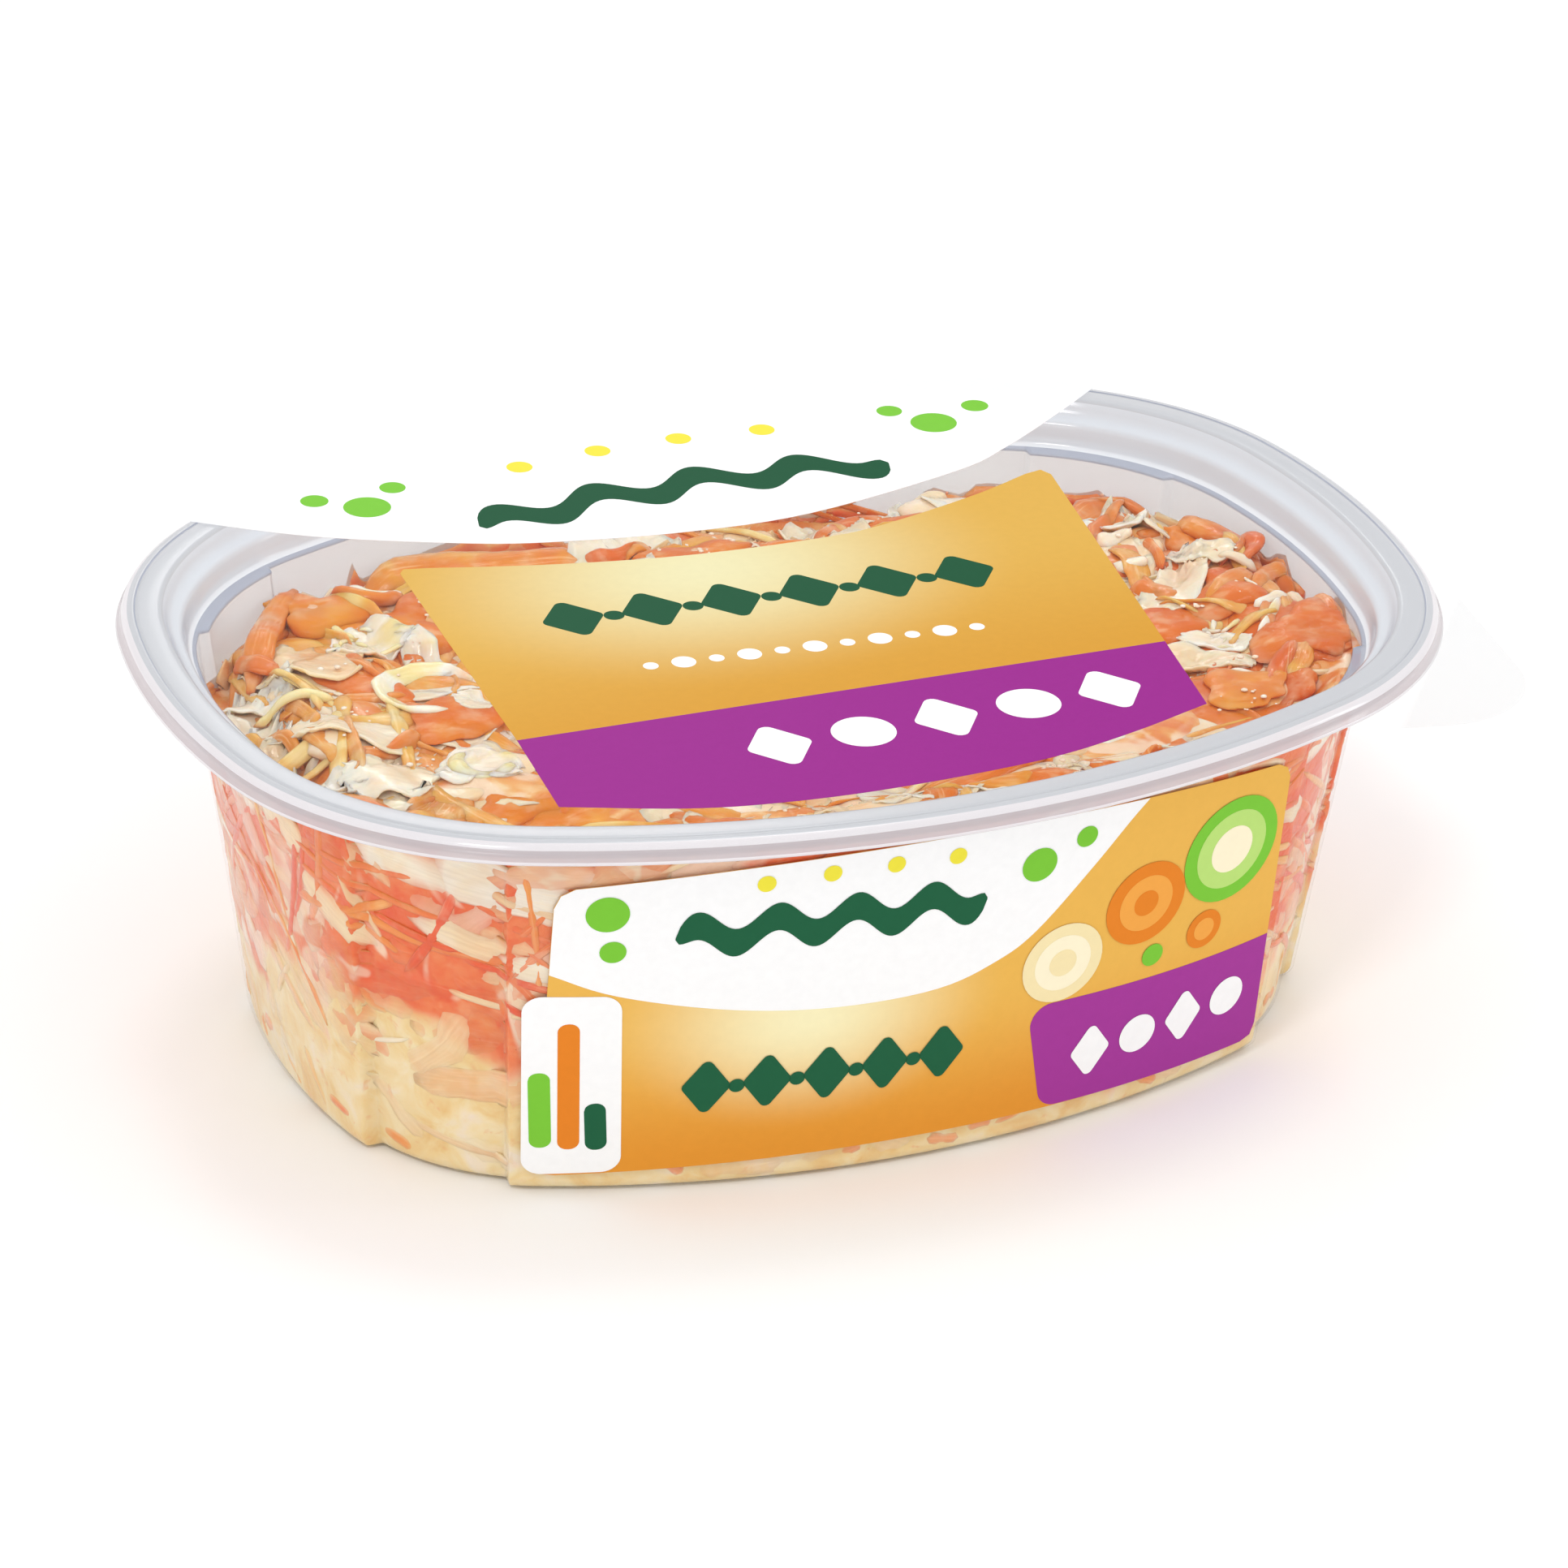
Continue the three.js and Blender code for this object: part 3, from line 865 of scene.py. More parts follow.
def ceiling(x, y):
    """Highest level a piece may reach: clear of the film, lower in the middle."""
    q = np.maximum(np.abs(x) / 50.0, np.abs(y) / 36.0)
    return 42.3 + RAISE[0] + 2.2 * smooth((q - 0.95) / 0.12)


def under(z, top, soft=2.4):
    """Presses heights softly below the top level, so that no two pieces end in one plane."""
    d = np.clip(z - (top - soft), 0, 16)
    return np.where(d > 0, top - soft * np.exp(-d / soft), z)


def random_inside(margin=2.0):
    while True:
        x, y = rng.uniform(-64, 64), rng.uniform(-48, 48)
        off, t = inside_off(np.array([x]), np.array([y]))
        if off[0] > wall_off(38) + 0.8 + margin + 1.2:
            return x, y


def top_strand(hm, soup, length, width, thick, curl, tint, lift=0.0, stiff=6, n=15, section=SEC_STRAND, rough=0.0, bury=0.35, at=None, ang=None, sink0=0.0, arc=None):
    x, y = random_inside() if at is None else at
    a = rng.uniform(0, 2 * math.pi) if ang is None else ang
    ds = length / (n - 1)
    k0 = rng.normal(0, curl)
    k1 = rng.normal(0, curl)
    if arc is not None:
        k0 = k1 = arc
    xs, ys = [], []
    x -= math.cos(a) * length * 0.4
    y -= math.sin(a) * length * 0.4
    for i in range(n):
        xs.append(x)
        ys.append(y)
        u = i / (n - 1)
        a += (k0 * (1 - u) + k1 * u) * ds
        x += math.cos(a) * ds
        y += math.sin(a) * ds
    tint = float(np.clip(tint - 0.003 * x, 0, 1))
    xs, ys = np.array(xs), np.array(ys)
    xs, ys = keep_inside(xs, ys, np.full(n, 39.0), 0.5 + width * 0.45)
    for _ in range(3):
        xs[1:-1] = 0.25 * xs[:-2] + 0.5 * xs[1:-1] + 0.25 * xs[2:]
        ys[1:-1] = 0.25 * ys[:-2] + 0.5 * ys[1:-1] + 0.25 * ys[2:]
    tx, ty = np.gradient(xs), np.gradient(ys)
    ln = np.hypot(tx, ty) + 1e-9
    sx, sy = -ty / ln, tx / ln
    h = np.maximum.reduce([hm.get(xs, ys), hm.get(xs + sx * width * 0.3, ys + sy * width * 0.3), hm.get(xs - sx * width * 0.3, ys - sy * width * 0.3)])
    z = smooth_path(np.maximum(h, smooth_path(h, stiff)) if width < 3 else 0.5 * (h + smooth_path(h, stiff)), stiff)
    u = np.linspace(0, 1, n)
    z = z + thick * 0.22 + lift * np.sin(math.pi * u) - bury * (np.abs(2 * u - 1) ** 5)
    z = under(z, ceiling(xs, ys) - thick * 0.5)
    path = np.stack([xs, ys, z], 1)
    tan = np.gradient(path, axis=0)
    tan /= np.linalg.norm(tan, axis=1, keepdims=True) + 1e-9
    up = np.array([0, 0, 1.0]) - tan * tan[:, 2:3]
    up /= np.linalg.norm(up, axis=1, keepdims=True) + 1e-9
    side = np.cross(tan, up)
    tilt = 0.5 if width < 3 else 0.28
    tw = rng.normal(0, tilt) + rng.normal(0, tilt * 1.6) * (u - 0.5)
    c, s = np.cos(tw)[:, None], np.sin(tw)[:, None]
    side, up = side * c + up * s, up * c - side * s
    taper = np.clip(np.minimum(u, 1 - u) * (7.0 if width < 3 else 4.5), 0.14, 1.0) ** 0.6
    w = width * taper * (1 + 0.14 * np.sin(u * rng.uniform(4, 11) + rng.uniform(0, 6)))
    th = thick * np.clip(taper * 1.2, 0.25, 1.0)
    end = np.maximum(smooth((np.abs(2 * u - 1) - 0.72) / 0.28) * 0.6, sink0)
    sweep(path, side, up, w, th, soup, tint, end, rng.uniform(0, 60), section, rough)
    for o in (-0.42, -0.2, 0.0, 0.2, 0.42):
        if width >= 3 or abs(o) in (0.0, 0.42):
            hm.put(xs + sx * width * o, ys + sy * width * o, z + thick * (0.35 if width < 3 else 0.42))


def sheet_faces(nu, nv):
    """Closed thin sheet: top grid, bottom grid, rim."""
    g = np.arange(nu * nv).reshape(nu, nv)
    a, b, c, d = g[:-1, :-1].ravel(), g[1:, :-1].ravel(), g[1:, 1:].ravel(), g[:-1, 1:].ravel()
    top = np.stack([a, b, c, d], 1)
    m = nu * nv
    bot = np.stack([a + m, d + m, c + m, b + m], 1)
    loop = np.concatenate([g[:-1, 0], g[-1, :-1], g[1:, -1][::-1], g[0, 1:][::-1]])
    nxt = np.roll(loop, -1)
    rim = np.stack([nxt, loop, loop + m, nxt + m], 1)
    return np.concatenate([top, bot, rim])


def top_leaf(hm, soup, length, width, thick, tint, wave, curl=0.0, nu=19, nv=9, lift=0.0, at=None, turn=None):
    """A wavy torn piece of cabbage with an uneven, ruffled edge."""
    x, y = random_inside(1.0) if at is None else at
    ang = rng.uniform(0, 2 * math.pi)
    ang = ang if turn is None else turn
    u = np.linspace(0, 1, nu)
    v = np.linspace(-1, 1, nv)
    bend = rng.normal(0, 0.4)
    s0 = rng.uniform(0, 100)
    fan = rng.uniform(-0.5, 0.5)
    prof = np.clip(np.minimum(u, 1 - u) * 5.0, 0.15, 1.0) ** 0.5 * (1 + fan * (2 * u - 1))

    def torn(seed):
        p = np.stack([u * 11 + seed, 0 * u, 0 * u], 1)
        return 1 + 0.24 * noise3(p, 2.6) + 0.12 * noise3(p + 17, 1.1)

    half = np.where(v[None, :] > 0, torn(s0)[:, None], torn(s0 + 50)[:, None]) * prof[:, None] * width / 2
    lu = (u[:, None] - 0.5) * length + 0.12 * width * noise3(np.stack([v[None, :] * 3 + s0 + 0 * u[:, None], 4 * u[:, None] + 0 * v[None, :], 0 * u[:, None] + 0 * v[None, :]], -1), 1.1)
    lv = v[None, :] * half + bend * (lu / max(length, 1)) ** 2 * length
    ca, sa = math.cos(ang), math.sin(ang)
    gx = x + lu * ca - lv * sa
    gy = y + lu * sa + lv * ca
    gx, gy = keep_inside(gx, gy, np.full(gx.shape, 39.0), 0.5)
    h = hm.get(gx, gy)
    hs = h.copy()
    for _ in range(5):
        hs[1:-1, :] = 0.25 * hs[:-2, :] + 0.5 * hs[1:-1, :] + 0.25 * hs[2:, :]
        hs[:, 1:-1] = 0.25 * hs[:, :-2] + 0.5 * hs[:, 1:-1] + 0.25 * hs[:, 2:]
        hs[0], hs[-1], hs[:, 0], hs[:, -1] = 0.5 * (hs[0] + hs[1]), 0.5 * (hs[-1] + hs[-2]), 0.5 * (hs[:, 0] + hs[:, 1]), 0.5 * (hs[:, -1] + hs[:, -2])
    ph = rng.uniform(0, 6.28, 4)
    av = np.abs(v)[None, :]
    wavez = wave * (np.sin(lu * rng.uniform(0.3, 0.6) + ph[0]) * 0.5 + np.sin(lv * rng.uniform(0.6, 1.1) + ph[1]) * 0.4)
    ruffle = wave * 0.8 * av ** 2 * np.sin(lu * rng.uniform(1.3, 2.2) + ph[2] + v[None, :] * 2)
    tilt = rng.normal(0, 0.2) * lv + rng.normal(0, 0.07) * lu
    z = 0.55 * np.maximum(h, hs) + 0.45 * hs + wavez + ruffle + tilt * 0.6 + lift + curl * width * (av ** 2 - 0.35)
    z = under(z, ceiling(gx, gy) - thick * 0.5)
    top = np.stack([gx, gy, z + thick / 2], -1)
    du = np.gradient(top, axis=0)
    dv = np.gradient(top, axis=1)
    nrm = np.cross(du, dv)
    nrm /= np.linalg.norm(nrm, axis=-1, keepdims=True) + 1e-9
    if nrm[..., 2].mean() < 0:
        nrm = -nrm
    thin = np.clip(1 - av ** 4, 0.25, 1) * np.clip(prof[:, None] * 1.2, 0.3, 1) * thick
    bot = top - nrm * thin[..., None]
    verts = np.concatenate([top.reshape(-1, 3), bot.reshape(-1, 3)])
    q = sheet_faces(nu, nv)
    al = np.tile((lu * 0.22 + s0).ravel(), 2)
    ac = np.tile((lv * 1.1 + 0 * lu).ravel(), 2)
    edge = np.maximum(av ** 2 + 0 * u[:, None], (np.abs(2 * u - 1) ** 3)[:, None] + 0 * av)
    clear = rng.uniform(0.05, 0.5) * (1 - np.clip(edge, 0, 1))
    soup.add(verts, q, None, tint=tint, sink=np.tile(clear.ravel(), 2), along=al, across=ac)
    hm.put(gx.ravel(), gy.ravel(), (z + thick * 0.3).ravel())


def mound(hm, soup, x, y, rx, ry, rz, ang, tint, rough=0.7, dense=False):
    """A smooth coated lump of packed shreds."""
    tint = float(np.clip(tint - 0.003 * x, 0, 1))
    th = np.linspace(0, 2 * math.pi, 41)[:-1]
    seed = rng.uniform(0, 90)
    ph = rng.uniform(0, 6.28, 3)
    lobe = 1 + 0.14 * np.sin(2 * th + ph[0]) + 0.14 * np.sin(3 * th + ph[1]) + 0.09 * np.sin(5 * th + ph[2])
    gx, gy = x + rx * 0.6 * np.cos(th), y + ry * 0.6 * np.sin(th)
    base = float(np.median(hm.get(gx, gy)))
    rings = []
    for f in np.linspace(-0.47, 0.47, 17) * math.pi:
        c, d = math.cos(f), math.sin(f)
        px, py = rx * c ** 0.9 * np.cos(th) * lobe, ry * c ** 0.9 * np.sin(th) * lobe
        pz = np.full(len(th), rz * d)
        p = np.stack([px, py, pz * 1.6], 1)
        ln = np.linalg.norm(p, axis=1, keepdims=True) + 1e-6
        groove = rough * noise3(p * np.array([0.35, 1.0, 1.0]) + seed, 2.0) * 0.45
        k = rough * (noise3(p + seed, 5.5) * 1.5 + noise3(p + seed + 40, 2.4) * 0.45) + groove
        px, py, pz = px + p[:, 0] / ln[:, 0] * k, py + p[:, 1] / ln[:, 0] * k, pz + p[:, 2] / ln[:, 0] * k * 0.6
        wx, wy = x + px * math.cos(ang) - py * math.sin(ang), y + px * math.sin(ang) + py * math.cos(ang)
        wx, wy = keep_inside(wx, wy, np.full(len(wx), 39.0), 0.45)
        wz = under(base + rz * 0.12 + pz, ceiling(wx, wy))
        rings.append(np.stack([wx, wy, wz], 1))
    v, q, t = loft(rings)
    low = smooth((base - v[:, 2]) / 1.5)
    soup.add(v, q, t, tint=tint, sink=0.5 * low, along=v[:, 0] * 0.22 + seed, across=v[:, 1] * 0.4)
    for r in rings[7:]:
        hm.put(r[:, 0], r[:, 1], r[:, 2] - 0.1)
    if dense:
        for lo, up in zip(rings[8:-1], rings[9:]):
            for k in (0.2, 0.4, 0.6, 0.8, 1.0):
                r = lo + (up - lo) * k
                for s in (r, 0.5 * (r + np.roll(r, 1, axis=0))):
                    hm.put(s[:, 0], s[:, 1], s[:, 2] - 0.05)
    for k in np.linspace(0, 0.9, 9):
        hm.put(x + (rings[12][:, 0] - x) * k, y + (rings[12][:, 1] - y) * k, np.full(len(th), min(base + rz * 1.0, 42.3)))


# arc length round the wall at mid height, to place strips evenly
_px, _py = plan(np.linspace(0, 2 * math.pi, 2001), wall_off(22) + 1)
_arc = np.concatenate([[0], np.cumsum(np.hypot(np.diff(_px), np.diff(_py)))])
ARC_LEN = float(_arc[-1])


def phi_at(s):
    return np.interp(np.mod(s, ARC_LEN), _arc, np.linspace(0, 2 * math.pi, 2001))


SIDE_SECTION = np.array([[-1, 0.3], [-0.82, 0.08], [-0.4, -0.03], [0, -0.06], [0.4, -0.03], [0.82, 0.08], [1, 0.3], [0.7, 1.0], [-0.7, 1.0]])


def side_strip(soup, length, width, tint, angle, z0=None, depth=0.12, n=10, curve=0.02, sink0=0.0, ragged=0.12, s0=None, inside=None, top_lim=None, blunt=6.0):
    """Strip pressed against the wall: its outer face stands just proud of the sauce, its ends sink in."""
    s = rng.uniform(0, ARC_LEN) if s0 is None else s0
    z = rng.uniform(2.0, 40.0) if z0 is None else z0
    a = angle
    k = rng.normal(0, curve)
    ds = length / (n - 1)
    ss, zs, an = [], [], []
    for i in range(n):
        ss.append(s)
        zs.append(z)
        an.append(a)
        a += k * ds
        s += math.cos(a) * ds
        z += math.sin(a) * ds
    ss, zs, an = np.array(ss), np.array(zs), np.array(an)
    lim = float(contact(phi_at(np.array([ss.mean()])))[0]) + 0.3 if top_lim is None else top_lim
    mid, reach_z = (zs.min() + zs.max()) / 2, (zs.max() - zs.min()) / 2
    zs = zs + (np.clip(mid, 1.8 + reach_z, max(lim - reach_z, 1.9 + reach_z)) - mid)
    u = np.linspace(0, 1, n)
    taper = np.clip(np.minimum(u, 1 - u) * blunt, 0.1, 1.0) ** 0.6
    w1 = 1 + ragged * noise3(np.stack([u * 9 + s, 0 * u, 0 * u + z], 1), 1.7) * 2
    w2 = 1 + ragged * noise3(np.stack([u * 9 + s, 0 * u + 40, 0 * u + z], 1), 1.7) * 2
    w = width * taper
    wob = 0.10 * np.sin(u * rng.uniform(4, 10) + rng.uniform(0, 6))
    sink = 0.5 * smooth((np.abs(2 * u - 1) - 0.62) / 0.38) * rng.uniform(0.1, 0.9)
    m = len(SIDE_SECTION)
    sx = SIDE_SECTION[None, :, 0]
    hw = np.where(sx > 0, (w * w1)[:, None], (w * w2)[:, None]) / 2
    sv = ss[:, None] - np.sin(an)[:, None] * sx * hw
    zv = np.clip(zs[:, None] + np.cos(an)[:, None] * sx * hw, 0.9, 43.2)
    if inside is None:
        inward = CORE_IN - depth + (SIDE_SECTION[None, :, 1] * 0.75) + (sink + np.maximum(wob, 0))[:, None]
        inward = np.maximum(inward, 0.2)
    else:
        inward = inside + 0.5 * (1 - SIDE_SECTION[None, :, 1]) + (0.35 * np.sin(u * 3 + s))[:, None] + 0 * hw
        inward = np.maximum(inward, WALL_T + 0.05)
    p = wall_point(phi_at(sv.ravel()), zv.ravel(), inward.ravel())
    q, t = tube_faces(n, m)
    if inside is None and width < 1.65 and length > 5 and zs.mean() < 27 and p[:, 0].mean() < -40 and int(abs(s) * 10) % 4:
        return
    if inside is None:
        q = q[:, ::-1]
        t = t[:, ::-1]
        hide = np.clip((inward - (CORE_IN - 0.10)) / 0.16, 0, 1) * 0.85
        hide = np.maximum(hide, sink0)
    else:
        hide = np.zeros(inward.shape) + sink0
    soup.add(p, q, t, tint=tint, sink=hide.ravel(), along=np.repeat(ss * 0.22, m), across=np.tile(SIDE_SECTION[:, 0], n) * np.repeat(w, m) * 1.6)


def ico():
    g = (1 + 5 ** 0.5) / 2
    v = np.array([[-1, g, 0], [1, g, 0], [-1, -g, 0], [1, -g, 0], [0, -1, g], [0, 1, g], [0, -1, -g], [0, 1, -g], [g, 0, -1], [g, 0, 1], [-g, 0, -1], [-g, 0, 1]], float)
    v /= np.linalg.norm(v[0])
    f = [[0, 11, 5], [0, 5, 1], [0, 1, 7], [0, 7, 10], [0, 10, 11], [1, 5, 9], [5, 11, 4], [11, 10, 2], [10, 7, 6], [7, 1, 8],
         [3, 9, 4], [3, 4, 2], [3, 2, 6], [3, 6, 8], [3, 8, 9], [4, 9, 5], [2, 4, 11], [6, 2, 10], [8, 6, 7], [9, 8, 1]]
    v, out, seen = list(map(tuple, v)), [], {}

    def mid(a, b):
        key = (min(a, b), max(a, b))
        if key not in seen:
            m = (np.array(v[a]) + np.array(v[b])) / 2
            v.append(tuple(m / np.linalg.norm(m)))
            seen[key] = len(v) - 1
        return seen[key]
    for a, b, c in f:
        ab, bc, ca = mid(a, b), mid(b, c), mid(c, a)
        out += [[a, ab, ca], [b, bc, ab], [c, ca, bc], [ab, bc, ca]]
    return np.array(v), np.array(out)


ICO_V, ICO_F = ico()


def add_bead(soup, centre, r, tint, flat=None, normal=None):
    v = ICO_V * r * (1 + 0.12 * noise3(ICO_V * 2 + rng.uniform(0, 50), 1.0))[:, None]
    if normal is not None:
        v = v - normal[None, :] * ((v @ normal) * (1 - flat))[:, None]
    soup.add(v + centre, None, ICO_F, tint=tint, sink=0.0, along=0.0, across=0.0)


def tint_carrot():
    return float(np.clip(rng.normal(0.42, 0.22), 0, 1))


def tint_cabbage():
    return float(np.clip(rng.normal(0.5, 0.25), 0, 1))


def bead_material():
    m, nt, b = new_material("sauce_drops_and_painted_glints")
    vec = coords(nt)
    base = ramp(nt, attr(nt, "tint"), [(0.0, lin(238, 226, 206)), (0.5, lin(240, 206, 166)), (1.0, lin(232, 132, 76))])
    # near-white spots mixed into the drops' colour: partly painted glints
    nt.links.new(mix_rgb(nt, math_node(nt, "MULTIPLY", noise_tex(nt, vec, 800.0, 2.0), 0.4), base, lin(246, 238, 226)), b.inputs["Base Color"])
    b.inputs["Roughness"].default_value = 0.12
    b.inputs["Coat Weight"].default_value = 1.0
    b.inputs["Coat Roughness"].default_value = 0.03
    return m


def build_slaw():
    top_stops = [(0.0, lin(216, 98, 30)), (0.3, lin(220, 117, 38)), (0.6, lin(224, 142, 52)), (0.85, lin(228, 174, 80)), (1.0, lin(237, 204, 132))]
    side_stops = [(0.0, lin(232, 80, 32)), (0.3, lin(236, 100, 40)), (0.6, lin(238, 126, 54)), (0.85, lin(238, 150, 62)), (1.0, lin(238, 182, 114))]
    leaf_stops = [(0.0, lin(234, 176, 118)), (0.3, lin(238, 199, 152)), (0.6, lin(242, 217, 186)), (0.85, lin(248, 234, 218)), (1.0, lin(238, 210, 146))]
    side_leaf = [(0.0, lin(232, 168, 116)), (0.35, lin(235, 190, 142)), (0.7, lin(238, 209, 168)), (1.0, lin(243, 231, 210))]
    carrot_mat = shred_material("carrot", top_stops, 0.24, 0.3, 0.25, 0.26, 0.36, 0.25)
    lump_stops = [(0.0, lin(211, 92, 16)), (0.3, lin(217, 110, 24)), (0.6, lin(222, 136, 40)), (0.85, lin(229, 166, 68)), (1.0, lin(238, 200, 120))]
    lump_mat = shred_material("carrot_lump", lump_stops, 0.3, 0.26, 0.22, 0.4, 0.24, 0.12)
    side_mat = shred_material("carrot_at_wall", side_stops, 0.34, 0.2, 0.12)
    cabbage_mat = shred_material("cabbage", leaf_stops, 0.2, 0.3, 0.35, 0.34)
    pale_stops = [(0.0, lin(240, 188, 134)), (0.3, lin(244, 211, 168)), (0.6, lin(247, 227, 198)), (0.85, lin(250, 240, 224)), (1.0, lin(244, 222, 160))]
    leaf_mat = shred_material("cabbage_leaf", pale_stops, 0.2, 0.3, 0.45, 0.3)
    sleaf_mat = shred_material("cabbage_at_wall", side_leaf, 0.34, 0.3, 0.12)
    bands, lumps, carrots, cabbage, leaves, beads = Soup(), Soup(), Soup(), Soup(), Soup(), Soup()
    hm = HeightMap()

    def band(n, w0, w1, **kw):
        for _ in range(n):
            top_strand(hm, bands, rng.uniform(14, 38), rng.uniform(w0, w1), rng.uniform(1.6, 2.8), 0.05, tint_carrot() * 0.9, lift=rng.uniform(0, 1.2), n=20, section=SEC_BAND, rough=0.5, bury=1.6, stiff=5, **kw)

    def leaf(n, l0, l1, w0, w1):
        for _ in range(n):
            top_leaf(hm, cabbage, rng.uniform(l0, l1), rng.uniform(w0, w1), rng.uniform(0.45, 0.85), tint_cabbage(), rng.uniform(0.35, 0.9), rng.uniform(-0.04, 0.16))

    def strand(n, w0, w1, mean, soup=None):
        for _ in range(n):
            top_strand(hm, carrots, rng.uniform(10, 28), rng.uniform(w0, w1), rng.uniform(0.45, 0.7), 0.12, float(np.clip(rng.normal(mean, 0.18), 0, 1)), lift=rng.uniform(0, 0.4), bury=0.6)

    # broad sauce-coated bands and lumps of carrot make the body of the heap
    band(80, 4.0, 9.0)
    for _ in range(60):
        x, y = random_inside(3.0)
        mound(hm, lumps, x, y, rng.uniform(4, 8.5), rng.uniform(3, 6), rng.uniform(1.4, 2.6), rng.uniform(0, 3.1), tint_carrot())
    leaf(70, 9, 18, 6, 11)
    band(30, 3.2, 7.0)
    mid = HeightMap.__new__(HeightMap)
    mid.step, mid.x0, mid.y0, mid.h = hm.step, hm.x0, hm.y0, hm.h.copy()
    for _ in range(5):
        hm.h = np.maximum(hm.h, box_blur(hm.h, 2) - 0.25)
    leaf(58, 7, 15, 4.5, 9)
    strand(38, 1.0, 1.7, 0.45)
    for _ in range(26):
        x, y = random_inside(3.0)
        mound(hm, lumps, x, y, rng.uniform(4, 7), rng.uniform(2.6, 4.6), rng.uniform(1.2, 2.0), rng.uniform(0, 3.1), tint_carrot())
    # the pieces that show most, laid where the heap has them: (x, y, long, across, height, turn, tint)
    for x, y, rx, ry, rz, a, tint in ((-41, 29, 10.5, 7, 3.0, -0.6, 0.35), (-50, 22, 6, 4.5, 2.2, -1.0, 0.6), (-36.5, -20, 8, 6, 2.2, 0.3, 0.35),
                                      (53, -13, 8, 6, 3.6, -0.4, 0.15), (56, -20, 6, 5, 3.0, -1.2, 0.3), (47, -24, 7, 4.5, 2.6, -0.7, 0.25), (52, -1, 6.5, 4.4, 3.0, 0.5, 0.2),
                                      (41, -27, 9, 6, 2.4, -0.5, 0.3), (57.5, 6, 5.2, 3.6, 2.4, 1.1, 0.3), (51, 15, 5.4, 3.6, 2.2, 0.8, 0.4),
                                      (3, 30, 9, 4.5, 2.4, 0.1, 0.3), (24.5, 30, 8, 4.5, 2.4, -0.1, 0.35), (-31, -28, 8, 5, 2.0, -0.4, 0.45)):
        mound(hm, lumps, x, y, rx, ry, rz, a, tint, rough=1.1)
    for _ in range(12):
        x, y = random_inside(3.0)
        mound(hm, cabbage, x, y, rng.uniform(3.5, 6.5), rng.uniform(2.4, 4.2), rng.uniform(1.1, 1.8), rng.uniform(0, 3.1), tint_cabbage(), rough=1.0)
    for x, y, rx, ry, rz, a, tint in ((-49, 15, 6.5, 4.5, 1.9, 0.3, 0.25), (-38, 5, 7, 4, 1.8, 0.9, 0.75), (-50, -3, 6.5, 4.5, 1.8, -1.2, 0.5), (-50, -14, 6, 4.5, 1.8, -0.5, 0.65), (-41, -15, 6.2, 5.5, 2.4, 0.2, 0.4),
                                      (44, 4, 7.5, 4.5, 2.0, 0.8, 0.6), (43, -12, 5.5, 3.4, 2.0, 0.2, 0.8), (33, -29, 7, 4.5, 1.8, -0.3, 0.6), (-20, -33, 8, 4.5, 1.8, -0.1, 0.55), (0, -37, 8, 4, 1.8, 0.1, 0.35), (14, -36, 6.5, 4, 1.8, 0.1, 0.7),
                                      (-8, 33, 7, 4, 2.0, 0.1, 0.55), (37, 32, 6.5, 4, 2.0, -0.5, 0.7), (48, 11, 5.5, 3.8, 2.0, 0.9, 0.6), (-58, 12, 4.8, 3.4, 2.2, 1.2, 0.8), (24, -33, 6, 4, 1.6, 0, 0.5)):
        mound(hm, cabbage, x, y, rx, ry, rz, a, tint, rough=1.0)
    for x, y, a, ln, w, th, tint in ((-25, 37.0, -0.3, 30, 6.0, 3.2, 0.55), (-47.5, 29, -2.03, 25, 3.4, 1.8, 0.3), (50.3, 33.5, 1.2, 9, 2.6, 1.4, 0.5), (8, -34, 0.1, 20, 5, 2.0, 0.4)):
        top_strand(hm, bands, ln, w, th, 0.012, tint, lift=0.9, n=20, section=SEC_BAND, rough=0.4, bury=1.2, stiff=5, at=(x, y), ang=a)
